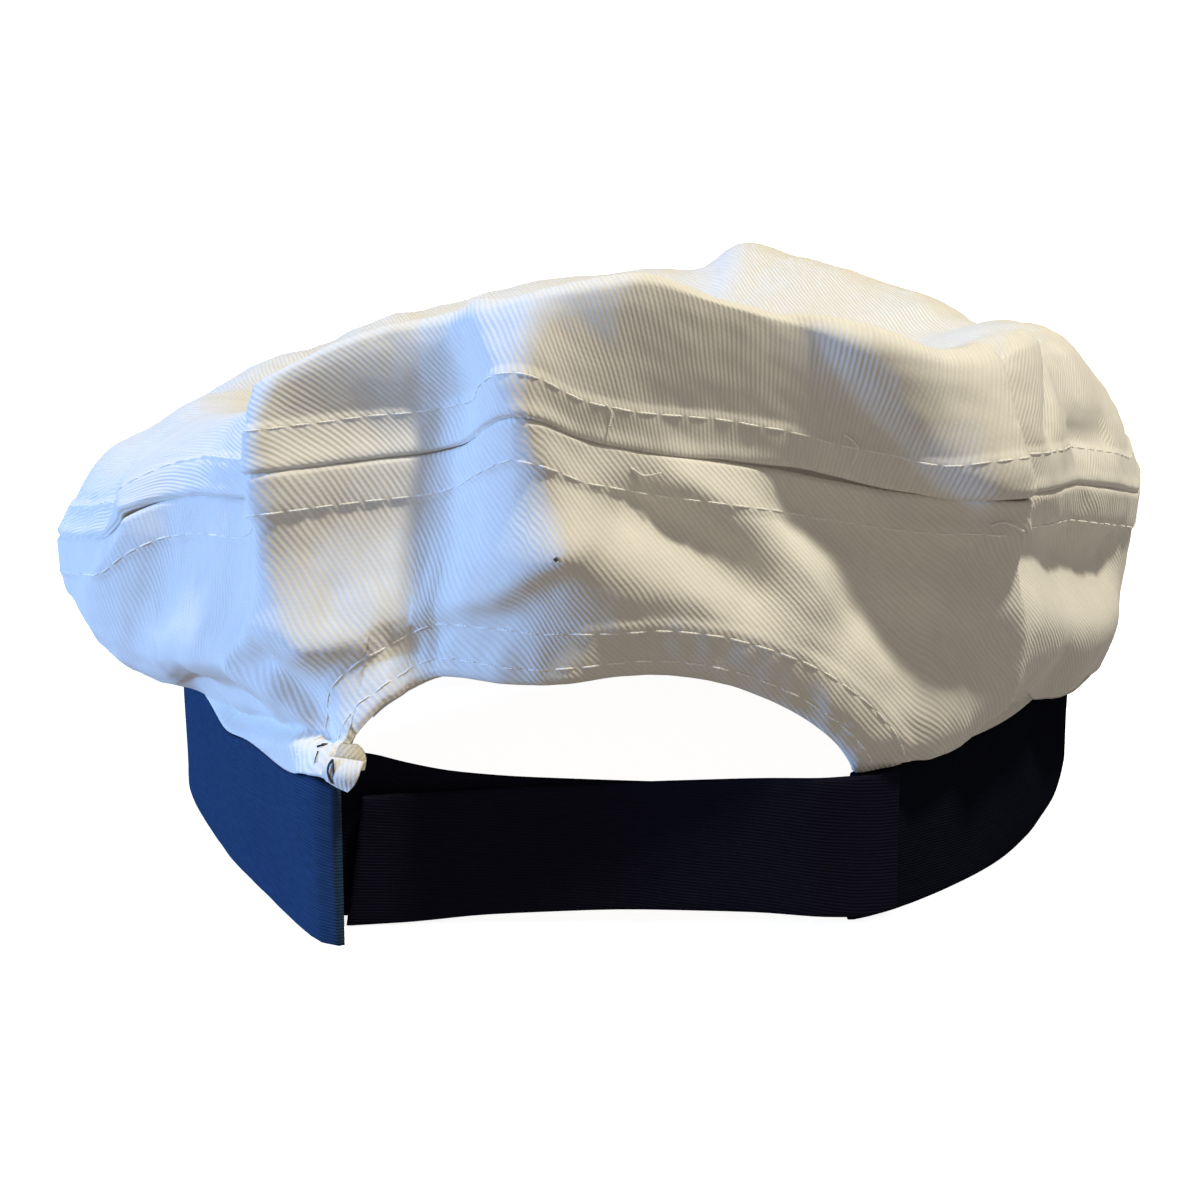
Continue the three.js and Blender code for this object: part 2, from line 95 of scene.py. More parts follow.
def bell(distance: Array, width: float, power: float = 2.0) -> Array:
    """Fall from 1 at no distance towards 0, by exp(-|d/w|^p).

    Args:
        distance: Distances to read.
        width: Distance where it has fallen to 1/e.
        power: 2 for a round top, nearer 1 for a sharp one.

    Returns:
        The height at each distance.
    """
    return np.exp(-(np.abs(distance / width) ** power))


def along(stops: Sequence[float], values: Sequence[Any], at: Array, reach: float) -> Array:
    """Read straight lines through stops, carried on past the ends, with rounded corners.

    The reading is the weighted mean of straight-line readings at five places within the reach.

    Args:
        stops: Rising places along the profile.
        values: The profile's value at each stop, a number or an array shaped like at.
        at: Places to read.
        reach: How far to either side a corner is rounded.

    Returns:
        The value at each place.
    """
    last = len(stops) - 2
    total: Any = 0.0
    for share, weight in ROUNDING:
        place = at + share * reach
        reading = values[0]
        for k in range(last + 1):
            step = (place - stops[k]) / (stops[k + 1] - stops[k])
            step = np.clip(step, -np.inf if k == 0 else 0.0, np.inf if k == last else 1.0)
            reading = reading + (values[k + 1] - values[k]) * step
        total = total + weight * reading
    return total


def ripples(u: Array, v: Array, length: float, seed: int, stretch: float = 1.0) -> Array:
    """Sum twelve sine waves of random heading, length and phase into smooth unit ripples.

    Args:
        u: First cloth coordinate, mm.
        v: Second cloth coordinate, mm.
        length: Mean wavelength, mm.
        seed: Seed of the waves.
        stretch: How many times longer the ripples are along v than along u.

    Returns:
        The ripples at each place, with a spread of about 1.
    """
    draw = np.random.default_rng(seed)
    waves = 12
    total = np.zeros(np.broadcast(u, v).shape)
    for _ in range(waves):
        heading, phase = draw.uniform(0.0, 2.0 * math.pi, 2)
        scale = 2.0 * math.pi / (length * draw.uniform(0.7, 1.5))
        total += np.sin(scale * (u * math.cos(heading) + v * math.sin(heading) / stretch) + phase)
    return total / math.sqrt(waves / 2)


def unit(vectors: Array) -> Array:
    """Scale vectors to length 1."""
    return vectors / np.maximum(np.linalg.norm(vectors, axis=-1, keepdims=True), 1e-9)


def polyline_distance(points: Array, line: Array) -> Array:
    """Measure how far points are from the nearest part of a polyline.

    Args:
        points: Points, shape (..., 3).
        line: Corners of the polyline, shape (n, 3).

    Returns:
        The distances, shape (...).
    """
    return polyline_reading(points, line, points[..., :2], line[:, :2])[0]


def polyline_reading(points: Array, line: Array, flat: Array, flat_line: Array) -> tuple[Array, Array]:
    """Measure how far points are from a polyline, and on which side of it they are.

    The distance is taken in space to the nearest segment. The side is the sine between that
    segment and the way to the point in the flat coordinates: 1 on one side, -1 on the other,
    and between them only past an end.

    Args:
        points: Points, shape (..., 3).
        line: Corners of the polyline, shape (n, 3).
        flat: Flat coordinates of the points, shape (..., 2).
        flat_line: Flat coordinates of the corners, shape (n, 2).

    Returns:
        The distances and the sides, shape (...).
    """
    nearest = np.full(points.shape[:-1], np.inf)
    side = np.zeros_like(nearest)
    for k in range(len(line) - 1):
        run = line[k + 1] - line[k]
        share = np.clip(((points - line[k]) @ run) / max(run @ run, 1e-9), 0.0, 1.0)
        gap = np.linalg.norm(points - line[k] - share[..., None] * run, axis=-1)
        ahead = flat_line[k + 1] - flat_line[k]
        away = flat - flat_line[k] - share[..., None] * ahead
        cross = ahead[0] * away[..., 1] - ahead[1] * away[..., 0]
        sine = cross / np.maximum(np.linalg.norm(ahead) * np.linalg.norm(away, axis=-1), 1e-9)
        past_end = ((k == 0) & (share <= 0.0)) | ((k == len(line) - 2) & (share >= 1.0))
        sine = np.where(past_end, sine, np.sign(sine))
        closer = gap < nearest
        nearest, side = np.where(closer, gap, nearest), np.where(closer, sine, side)
    return nearest, side


def placed(angle: Array, radius: Array, height: Array) -> Array:
    """Turn an angle, a radius and a height into points of the hat's frame."""
    turn = np.radians(angle)
    spread = np.broadcast_arrays(radius * np.sin(turn), radius * np.cos(turn), height)
    return np.stack(spread, axis=-1)


class Value:
    """A shader value: arithmetic on it adds Math nodes to its tree."""

    def __init__(self, shader: "Shader", socket: bpy.types.NodeSocket) -> None:
        """Wrap an output socket of the shader's tree."""
        self.shader = shader
        self.socket = socket

    def math(self, operation: str, *values: Any) -> "Value":
        """Add a Math node.

        Args:
            operation: Name of the operation.
            values: Its inputs, sockets or numbers, in order.

        Returns:
            The node's value.
        """
        return self.shader.value("ShaderNodeMath", {"operation": operation}, dict(enumerate(values)))

    def __add__(self, other: Any) -> "Value":
        """Add."""
        return self.math("ADD", self, other)

    __radd__ = __add__

    def __sub__(self, other: Any) -> "Value":
        """Subtract."""
        return self.math("SUBTRACT", self, other)

    def __rsub__(self, other: Any) -> "Value":
        """Subtract from a number."""
        return self.math("SUBTRACT", other, self)

    def __mul__(self, other: Any) -> "Value":
        """Multiply."""
        return self.math("MULTIPLY", self, other)

    __rmul__ = __mul__

    def __truediv__(self, other: Any) -> "Value":
        """Divide."""
        return self.math("DIVIDE", self, other)

    def __pow__(self, other: Any) -> "Value":
        """Raise to a power."""
        return self.math("POWER", self, other)

    def wave(self) -> "Value":
        """Give 0 to 1, once for each whole number of this value."""
        return (self * (2.0 * math.pi)).math("SINE", self * (2.0 * math.pi)) * 0.5 + 0.5

    def limited(self) -> "Value":
        """Hold between 0 and 1."""
        return self.math("MINIMUM", self.math("MAXIMUM", self, 0.0), 1.0)


class Shader:
    """One material's node tree, with a single way to add nodes."""

    def __init__(self, name: str) -> None:
        """Start an empty material of the given name."""
        self.material = bpy.data.materials.new(name)
        self.material.use_nodes = True
        self.tree = self.material.node_tree
        self.tree.nodes.clear()

    def node(self, kind: str, settings: Mapping[str, Any], inputs: Mapping[Any, Any]) -> bpy.types.Node:
        """Add a node.

        Args:
            kind: Type of the node.
            settings: Attributes set first; "stops" sets the stops of a colour ramp.
            inputs: Values or links of its sockets, by name or number.

        Returns:
            The node.
        """
        made = self.tree.nodes.new(kind)
        for name, setting in settings.items():
            if name == "stops":
                self._set_stops(made.color_ramp.elements, setting)
            else:
                setattr(made, name, setting)
        for key, given in inputs.items():
            socket = made.inputs[key]
            if isinstance(given, Value):
                self.tree.links.new(given.socket, socket)
            elif isinstance(given, tuple) and len(given) == 3 and len(socket.default_value) == 4:
                socket.default_value = (*given, 1.0)
            else:
                socket.default_value = given
        return made

    @staticmethod
    def _set_stops(elements: Any, stops: Sequence[tuple[float, Colour]]) -> None:
        """Give a colour ramp its stops, each a place and a colour."""
        while len(elements) < len(stops):
            elements.new(1.0)
        for element, (place, colour) in zip(elements, stops):
            element.position = place
            element.color = (*colour, 1.0)

    def value(self, kind: str, settings: Mapping[str, Any], inputs: Mapping[Any, Any], out: Any = 0) -> Value:
        """Add a node and give one of its outputs.

        Args:
            kind: Type of the node.
            settings: Attributes set first.
            inputs: Values or links of its sockets.
            out: Name or number of the output.

        Returns:
            The output as a value.
        """
        return Value(self, self.node(kind, settings, inputs).outputs[out])

    def cloth(self) -> tuple[Value, Value]:
        """Give the two cloth coordinates of the piece's own map, in metres."""
        coords = self.value("ShaderNodeUVMap", {"uv_map": CLOTH_MAP}, {})
        split = self.node("ShaderNodeSeparateXYZ", {}, {0: coords})
        return Value(self, split.outputs[0]), Value(self, split.outputs[1])

    def noise(self, u: Value, v: Value, scale: float, detail: float = 2.0) -> Value:
        """Add a noise over two coordinates.

        Args:
            u: First coordinate.
            v: Second coordinate.
            scale: Cycles per unit.
            detail: Octaves of finer noise.

        Returns:
            The noise, from 0 to 1.
        """
        vector = self.value("ShaderNodeCombineXYZ", {}, {0: u, 1: v})
        return self.value("ShaderNodeTexNoise", {"noise_dimensions": "2D"}, {"Vector": vector, "Scale": scale, "Detail": detail})

    def blend(self, share: Value, low: Any, high: Any) -> Value:
        """Mix two colours.

        Args:
            share: 0 for the first colour, 1 for the second.
            low: First colour.
            high: Second colour.

        Returns:
            The mixed colour.
        """
        mixed = self.node("ShaderNodeMix", {"data_type": "RGBA"}, {0: share, 6: low, 7: high})
        return Value(self, mixed.outputs[2])

    def finish(self, inputs: Mapping[str, Any], height: Value | None, depth: float) -> bpy.types.Material:
        """Close the material with a Principled shader.

        Args:
            inputs: Values or links of the shader's sockets.
            height: Relief of the surface, 0 to 1, or None.
            depth: Depth of the whole relief, mm.

        Returns:
            The material.
        """
        sockets = dict(inputs)
        if height is not None:
            sockets["Normal"] = self.value("ShaderNodeBump", {}, {"Strength": 1.0, "Distance": depth * MM, "Height": height})
        shaded = self.value("ShaderNodeBsdfPrincipled", {}, sockets)
        self.node("ShaderNodeOutputMaterial", {}, {0: shaded})
        return self.material


@dataclass(frozen=True)
class Twill:
    """Diagonal-ribbed cloth: ribs of a pitch and lean, uneven yarns, soft mottling, and an optional painted shade along
    its run.
    """

    name: str
    light: Colour
    dark: Colour
    soil: Colour
    pitch: float
    lean: float
    relief: float
    roughness: float
    sheen: float
    soiling: float = 0.25
    lint: float = 0.0
    gloss: float = 0.08
    # Painted shade: an optional darker colour the weave fades into along its run, and that run in metres.
    painted_shade: Colour | None = None
    painted_shade_run: tuple[float, float] = (0.14, 0.40)

    def material(self) -> bpy.types.Material:
        """Make the cloth.

        The ribs are sine waves across the lean, bent a little by noise. Each rib carries short
        floats and yarn streaks. Colour follows the relief, and mottling follows slow noise.

        Returns:
            The material.
        """
        shader = Shader(self.name)
        u, v = shader.cloth()
        turn = math.radians(self.lean)
        pitch = self.pitch * MM
        bend = shader.noise(u, v, 90.0, 1.0) * 0.9
        across = (u * math.cos(turn) + v * math.sin(turn)) / pitch + bend
        run = (v * math.cos(turn) - u * math.sin(turn)) / pitch
        rib = across.wave()
        floats = (run * 0.9 + across * 0.5).wave()
        yarn = shader.noise(across * 1.0, run * 0.11, 1.3, 2.0)
        height = rib * 0.62 + floats * rib * 0.16 + yarn * 0.34
        tone = (rib * 0.5 + yarn * 0.75 + floats * 0.12 - 0.2).limited()
        weave = shader.blend(tone, self.dark, self.light)
        # Painted shade: along the first cloth coordinate the weave fades into a darker copy of the cloth, standing in
        # for shade that falls there.
        if self.painted_shade is not None:
            start, end = self.painted_shade_run
            painted_shade = ((u - start) / (end - start)).limited()
            weave = shader.blend(painted_shade, weave, shader.blend(tone, tuple(0.45 * part for part in self.painted_shade), self.painted_shade))
        patches = shader.noise(u, v, 38.0, 3.0)
        soiled = ((patches - 0.42) * 2.6).limited() * self.soiling
        colour = shader.blend(soiled, weave, self.soil)
        if self.lint:
            specks = shader.noise(u, v, 900.0, 1.0)
            fluff = ((specks - 0.71) * 14.0).limited() * self.lint
            colour = shader.blend(fluff, colour, (0.32, 0.34, 0.40))
        rough = (yarn * 0.12 + (self.roughness - 0.06)).limited()
        sockets = {
            "Base Color": colour,
            "Roughness": rough,
            "Sheen Weight": self.sheen,
            "Sheen Roughness": 0.5,
            "Specular IOR Level": self.gloss,
        }
        return shader.finish(sockets, height, self.relief)


@dataclass(frozen=True)
class SewingThread:
    """Plied sewing thread, its twist drawn along the stitch."""

    name: str
    light: Colour
    dark: Colour

    def material(self) -> bpy.types.Material:
        """Make the thread, two plies wound in a steep helix.

        Returns:
            The material.
        """
        shader = Shader(self.name)
        u, v = shader.cloth()
        ply = (u * 1400.0 + v * 1.0).wave()
        fuzz = shader.noise(u, v, 700.0, 2.0)
        tone = (ply * 0.7 + fuzz * 0.4).limited()
        colour = shader.blend(tone, self.dark, self.light)
        rough = fuzz * 0.2 + 0.5
        sockets = {"Base Color": colour, "Roughness": rough, "Sheen Weight": 0.1, "Specular IOR Level": 0.35}
        return shader.finish(sockets, ply, 0.05)


WHITE_TOP = Twill("white_twill_top", (0.83, 0.805, 0.765), (0.71, 0.68, 0.635), (0.72, 0.67, 0.58), 0.78, 20.0, 0.10, 0.94, 0.10)
WHITE_SIDE = Twill("white_twill_side", (0.83, 0.805, 0.765), (0.71, 0.68, 0.635), (0.72, 0.67, 0.58), 0.78, 0.0, 0.10, 0.94, 0.10)
WHITE_TAPE = Twill("white_facing", (0.82, 0.80, 0.76), (0.68, 0.65, 0.60), (0.70, 0.66, 0.58), 0.7, 45.0, 0.10, 0.94, 0.1)
# The lining's darker beige is partly its own tone and partly painted shade from lying inside the turned-up curl.
SHADED_BEIGE_LINING = Twill("shaded_beige_lining", (0.62, 0.57, 0.46), (0.50, 0.45, 0.36), (0.52, 0.47, 0.38), 0.7, 45.0, 0.10, 0.94, 0.05)
# The band's last colour is painted shade: the nearly black navy it fades into towards its right end, where the crown
# shades it.
NAVY_BAND = Twill(
    "navy_twill_band", (0.034, 0.075, 0.162), (0.0155, 0.035, 0.074), (0.010, 0.016, 0.032),
    0.52, 86.0, 0.08, 0.95, 0.0, 0.12, 0.0, 0.0, (0.0087, 0.0103, 0.0188),
)
NAVY_STRAP = Twill("navy_strap", (0.0125, 0.0125, 0.026), (0.006, 0.006, 0.012), (0.009, 0.009, 0.018), 0.52, 84.0, 0.08, 0.95, 0.0, 0.3, 0.004, 0.0)
NAVY_PEAK = Twill("navy_twill_peak", (0.024, 0.047, 0.12), (0.011, 0.022, 0.055), (0.015, 0.031, 0.08), 0.6, 30.0, 0.08, 0.95, 0.0, 0.3, 0.0, 0.0)
THREADS = {
    Thread.WHITE: SewingThread("white_thread", (0.92, 0.90, 0.86), (0.78, 0.76, 0.72)),
    Thread.NAVY: SewingThread("navy_thread", (0.012, 0.018, 0.045), (0.004, 0.006, 0.016)),
}


class Maker:
    """Puts arrays into Blender meshes and links each piece into the scene on the hat's body."""

    @staticmethod
    def wall(outer: Array, inner: Array, cloth: Array, closed: bool, pole: bool = False) -> tuple[Array, list[Array], list[Array]]:
        """Join an outer and an inner grid into one closed wall.

        Rows run down and columns round the head, so outer faces turn anticlockwise from outside.

        Args:
            outer: Outer points, shape (rows, columns, 3).
            inner: Inner points of the same shape.
            cloth: Cloth coordinates, shape (rows, columns + 1 if closed, 2).
            closed: Whether the last column joins the first.
            pole: Whether the first row shrinks to a point and is closed by a fan of its own.

        Returns:
            The points, the faces as arrays of corners, and each face's cloth corners.
        """
        rows, columns = outer.shape[:2]
        points = np.concatenate([outer.reshape(-1, 3), inner.reshape(-1, 3)])
        strips = columns if closed else columns - 1
        j, i = np.meshgrid(np.arange(rows - 1), np.arange(strips), indexing="ij")
        wide = cloth.shape[1]

        def index(row: Array, column: Array) -> Array:
            """Number a grid point."""
            return row * columns + column % columns

        def mark(row: Array, column: Array) -> Array:
            """Number a cloth point."""
            return row * wide + column

        def quads(number: Callable[[Array, Array], Array], corners: Sequence[tuple[Array, Array]]) -> Array:
            """Stack the four corners of many faces."""
            return np.stack([number(a, b).reshape(-1) for a, b in corners], axis=1)

        back = rows * columns
        front_corners = [(j, i), (j, i + 1), (j + 1, i + 1), (j + 1, i)]
        back_corners = [(j, i), (j + 1, i), (j + 1, i + 1), (j, i + 1)]
        faces = [quads(index, front_corners), quads(index, back_corners) + back]
        marks = [quads(mark, front_corners), quads(mark, back_corners)]
        strip = np.arange(strips)
        edge = [(np.zeros_like(strip), 1, 0), (np.full_like(strip, rows - 1), 0, 1)]
        for row, first, second in edge[1:] if pole else edge:
            a, b = index(row, strip + first), index(row, strip + second)
            faces.append(np.stack([a, b, b + back, a + back], axis=1))
            a, b = mark(row, strip + first), mark(row, strip + second)
            marks.append(np.stack([a, b, b, a], axis=1))
        if pole:
            faces.append(index(np.zeros_like(strip), strip)[None, ::-1])
            faces.append(index(np.zeros_like(strip), strip)[None] + back)
            marks.append(mark(np.zeros_like(strip), strip)[None, ::-1])
            marks.append(mark(np.zeros_like(strip), strip)[None])
        if not closed:
            down = np.arange(rows - 1)
            for column, first, second in ((0, 0, 1), (columns - 1, 1, 0)):
                side = np.full_like(down, column)
                a, b = index(down + first, side), index(down + second, side)
                faces.append(np.stack([a, b, b + back, a + back], axis=1))
                a, b = mark(down + first, side), mark(down + second, side)
                marks.append(np.stack([a, b, b, a], axis=1))
        return points, faces, marks

    @staticmethod
    def piece(name: str, points: Array, faces: Sequence[Array], marks: Sequence[Array], cloth: Array, material: bpy.types.Material) -> bpy.types.Object:
        """Make one object from arrays, smooth shaded, with its cloth map.

        Args:
            name: Name of the piece.
            points: Points in the hat's frame, mm.
            faces: Arrays of faces, each of shape (faces, corners).
            marks: Cloth corners of each face, as faces.
            cloth: Cloth coordinates in metres, shape (n, 2).
            material: Its finish.

        Returns:
            The object, riding on the hat's body.
        """
        mesh = bpy.data.meshes.new(name)
        loops = np.concatenate([part.reshape(-1) for part in faces]).astype(np.int32)
        totals = np.concatenate([np.full(len(part), part.shape[1]) for part in faces]).astype(np.int32)
        starts = np.concatenate([[0], np.cumsum(totals)[:-1]]).astype(np.int32)
        mesh.vertices.add(len(points))
        mesh.vertices.foreach_set("co", ((points + HEAD_AXIS) * MM).astype(np.float32).reshape(-1))
        mesh.loops.add(len(loops))
        mesh.loops.foreach_set("vertex_index", loops)
        mesh.polygons.add(len(totals))
        mesh.polygons.foreach_set("loop_start", starts)
        mesh.polygons.foreach_set("loop_total", totals)
        mesh.polygons.foreach_set("use_smooth", np.ones(len(totals), dtype=bool))
        mesh.update(calc_edges=True)
        layer = mesh.uv_layers.new(name=CLOTH_MAP)
        corner = np.concatenate([part.reshape(-1) for part in marks])
        layer.data.foreach_set("uv", cloth[corner].astype(np.float32).reshape(-1))
        mesh.validate()
        mesh.materials.append(material)
        made = bpy.data.objects.new(name, mesh)
        bpy.context.scene.collection.objects.link(made)
        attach(made, BODY)
        LOG.info("%s: %d points, %d faces", name, len(points), len(totals))
        return made


@dataclass(frozen=True)
class Fold:
    """A ridge (height above 0) or dent along a line of places on the crown.

    The widths are those left and right of a line drawn down the back, or below and above a
    line drawn rightwards across it. A power near 1 makes a sharp crest, 2 a round one.
    """

    widths: tuple[float, float]
    height: float
    power: float
    path: tuple[tuple[float, float], ...]

    def rise(self, distance: Array, side: Array, blunt: float = 0.5) -> Array:
        """Give the height by h exp(-(d/w)^p), w going from one width to the other with the side."""
        left, right = self.widths
        width = right + (left - right) * (0.5 - 0.5 * side)
        return self.height * np.exp(-((np.hypot(distance, blunt) / width) ** self.power))


SECTION_COLUMNS = ("angle", "band_r", "belly_r", "belly_z", "seam_r", "seam_z", "rim_r", "rim_z")
SECTIONS = np.array((
    (-180, 104.0, 109.0, 54.0, 113.0, 71.0, 94.5, 88.0),
    (-173, 103.8, 108.6, 54.0, 112.6, 71.0, 94.0, 88.0),
    (-166, 103.0, 108.0, 53.0, 112.0, 73.0, 97.0, 94.5),
    (-150, 98.5, 104.0, 46.0, 107.0, 70.0, 89.0, 90.5),
    (-125, 93.5, 97.0, 36.0, 101.0, 66.0, 83.0, 86.0),
    (-100, 88.0, 92.5, 27.0, 98.5, 59.0, 80.5, 87.5),
    (-87, 84.0, 91.0, 21.5, 96.0, 58.0, 81.0, 88.0),
    (-74, 81.6, 87.0, 22.0, 91.0, 63.0, 81.0, 89.5),
    (-64, 81.6, 84.0, 26.0, 89.0, 66.5, 81.0, 92.6),
    (-56, 82.5, 88.5, 33.0, 91.5, 68.0, 86.0, 96.0),
    (-47, 83.5, 90.5, 36.2, 95.5, 69.8, 90.5, 96.8),
    (-41.6, 84.5, 91.5, 39.4, 101.0, 71.6, 94.6, 95.7),
    (-37.2, 85.5, 91.0, 42.0, 101.0, 72.0, 96.2, 95.5),
    (-34, 86.2, 90.3, 44.0, 96.0, 71.0, 96.4, 96.3),
    (-31, 87.0, 89.6, 46.0, 92.0, 72.2, 98.0, 98.1),
    (-25, 86.8, 89.3, 49.0, 87.8, 74.4, 95.5, 100.9),
    (-19.5, 85.6, 89.8, 51.0, 86.6, 76.7, 91.4, 103.8),
    (-13, 84.3, 90.3, 52.5, 86.3, 78.5, 91.8, 107.1),
    (-5, 82.7, 91.5, 54.0, 86.4, 80.3, 93.0, 111.6),
    (2, 83.5, 93.0, 55.0, 90.4, 83.1, 92.5, 108.9),
    (6.5, 84.4, 92.0, 57.0, 96.0, 87.9, 91.5, 107.1),
    (11, 86.2, 89.0, 57.0, 90.6, 84.1, 85.6, 104.0),
    (16.5, 90.0, 83.2, 56.2, 80.0, 78.9, 80.2, 101.7),
    (20.5, 95.4, 83.0, 55.3, 79.5, 77.2, 80.6, 101.0),
    (24, 103.5, 86.0, 54.0, 82.6, 76.9, 82.5, 100.2),
    (29.5, 98.0, 91.5, 51.0, 88.6, 75.9, 87.5, 96.8),
    (34.8, 93.2, 95.0, 46.5, 97.2, 75.2, 94.0, 91.0),
    (40, 89.4, 89.5, 43.0, 88.0, 69.5, 85.0, 85.5),
    (46, 86.2, 88.0, 40.0, 83.0, 66.0, 78.5, 84.0),
    (57, 82.6, 88.0, 35.0, 84.0, 64.2, 76.0, 79.5),
    (64, 81.6, 88.0, 28.0, 87.5, 61.6, 76.0, 77.2),
    (67.5, 81.4, 91.0, 27.0, 91.5, 58.6, 76.4, 76.4),
    (71.5, 81.7, 95.0, 29.0, 94.5, 53.0, 77.0, 75.5),
    (90, 84.0, 108.0, 34.5, 107.5, 46.0, 80.0, 74.0),
    (106, 88.0, 108.5, 36.0, 109.0, 47.5, 80.0, 74.0),
    (126, 94.5, 104.0, 40.0, 107.0, 56.0, 84.5, 76.0),
    (150, 100.5, 106.5, 48.0, 110.5, 66.0, 91.0, 81.0),
    (168, 103.3, 108.5, 53.0, 113.0, 70.5, 93.5, 86.5),
))

FOLDS = (
    # A: the sharp fold at the left, its right flank falling back
    Fold((2.6, 9.0), 2.0, 1.3, ((36.5, -0.4), (35.2, -0.2), (34.8, 0), (34.3, 0.25), (32.5, 0.51), (30.2, 0.63))),
    # C: the sharp fold left of the middle, with a facet to its left
    Fold((8.0, 6.0), 2.2, 1.15, ((12.6, -0.42), (9, -0.22), (6.2, 0), (4.8, 0.2), (3.5, 0.42), (1.2, 0.56))),
    # Shelf above the hem, from the foot of A to the foot of C, and the creases above the band
    Fold((2.8, 9.0), 3.4, 1.8, (
        (31, 0.63), (27.5, 0.65), (25, 0.65), (22.5, 0.73), (19.8, 0.76), (15.2, 0.77), (9, 0.71), (4.2, 0.53),
    )),
    Fold((5.0, 7.0), 4.0, 1.7, ((62.8, 0.5), (55.2, 0.57), (46.2, 0.6), (41, 0.65))),
    Fold((3.5, 4.5), 2.4, 1.6, ((36.5, 0.5), (41.5, 0.6), (39, 0.67), (33.5, 0.76), (31.8, 0.82))),
    Fold((3.2, 4.0), -2.8, 1.8, ((61, 0.7), (54, 0.73), (47, 0.74), (42, 0.76))),
    Fold((1.3, 6.5), -2.8, 1.5, ((56, 0.96), (49.8, 0.945), (40, 0.9), (31.8, 0.87), (27, 0.9), (24.8, 0.9))),
    Fold((1.0, 1.2), -1.5, 1.6, ((56, 0.96), (49.8, 0.945), (40, 0.9), (31.8, 0.87), (27, 0.9), (24.8, 0.9))),
    Fold((4.0, 3.5), -2.8, 1.8, ((36, 0.6), (33.5, 0.68), (31, 0.76), (29, 0.83))),
    Fold((6.0, 6.0), -0.6, 2.0, ((32, 0.26), (26, 0.32), (20, 0.3))),
    # Drag lines right of C
    Fold((7.0, 7.0), 2.2, 1.7, ((1.2, 0.48), (-4.8, 0.62), (-12.8, 0.7), (-18.8, 0.76))),
    Fold((6.5, 4.5), 2.8, 1.6, (
        (-9, 0.13), (-13, 0.2), (-20.5, 0.32), (-23.2, 0.47), (-27.3, 0.57), (-39, 0.66),
    )),
    Fold((5.0, 5.0), -2.8, 2.0, ((-4, 0.26), (-10.2, 0.4), (-16, 0.56))),
    Fold((6.5, 6.5), -4.6, 2.0, ((-22, 0.17), (-29, 0.2), (-39, 0.23))),
    Fold((8.5, 7.5), -5.6, 2.0, ((-28.5, 0.46), (-34, 0.53), (-41.5, 0.54))),
    Fold((5.0, 11.0), 3.0, 2.0, ((-25, 0.82), (-31, 0.84), (-37, 0.88))),
    Fold((3.0, 4.0), -2.5, 2.0, ((-32.5, 0.05), (-40, 0.05))),
    # D: the valley left of the bump in the top's edge, and the crease at its right
    Fold((9.0, 2.2), -1.2, 1.3, ((-19.2, -0.42), (-24, -0.27), (-30, -0.14), (-35, 0))),
    Fold((8.0, 9.0), 1.4, 1.6, ((-26.5, -0.4), (-31, -0.26), (-36, -0.12), (-40, -0.01))),
    Fold((9.0, 2.4), 2.4, 1.3, (
        (-39.8, -0.4), (-39.8, -0.23), (-40.4, -0.09), (-41.2, 0), (-44.4, 0.16), (-46.6, 0.45), (-49, 0.68),
    )),
    Fold((6.5, 2.0), -5.2, 1.7, ((-43.8, -0.02), (-42.6, -0.23), (-42.6, -0.42))),
    Fold((4.0, 4.0), -2.4, 2.0, ((-60, -0.4), (-53, -0.2))),
    Fold((4.0, 4.0), -2.0, 2.0, ((-66, -0.15), (-76, -0.17))),
    Fold((8.0, 5.0), -3.6, 2.0, ((-49, 0.14), (-60, 0.18), (-80, 0.18))),
    Fold((12.0, 7.0), 3.6, 1.8, ((-50, 0.36), (-58, 0.37), (-68, 0.36), (-80, 0.33))),
    Fold((9.0, 9.0), -2.2, 2.0, ((-52, 0.84), (-62, 0.82), (-78, 0.8))),
    Fold((13.0, 8.0), -2.2, 2.0, ((-121, -0.3), (-121, -0.7))),
    Fold((6.0, 8.0), 1.0, 2.0, ((-99, -0.25), (-99, -0.48))),
    # The wing at the left and the rest of the top
    Fold((2.6, 9.0), 2.2, 1.4, ((73.2, -0.27), (68.2, -0.01), (67.8, 0.04), (71.2, 0.1), (76, 0.22))),
    Fold((5.0, 7.0), -2.6, 2.0, ((31, -0.16), (24, -0.12), (15, -0.13))),
    Fold((9.0, 9.0), 1.6, 2.0, ((76, -0.2), (90, -0.22), (112, -0.22))),
    Fold((22.0, 22.0), -3.0, 2.0, ((60, -0.7), (-40, -0.68))),
    Fold((4.5, 13.0), 1.2, 1.6, ((-166.5, -0.42), (-158.5, -0.72))),
    Fold((4.0, 3.5), -0.9, 2.0, ((-171, -0.42), (-164.5, -0.72))),
    Fold((14.0, 14.0), 2.0, 2.0, ((128, -0.55), (150, -0.8))),
)


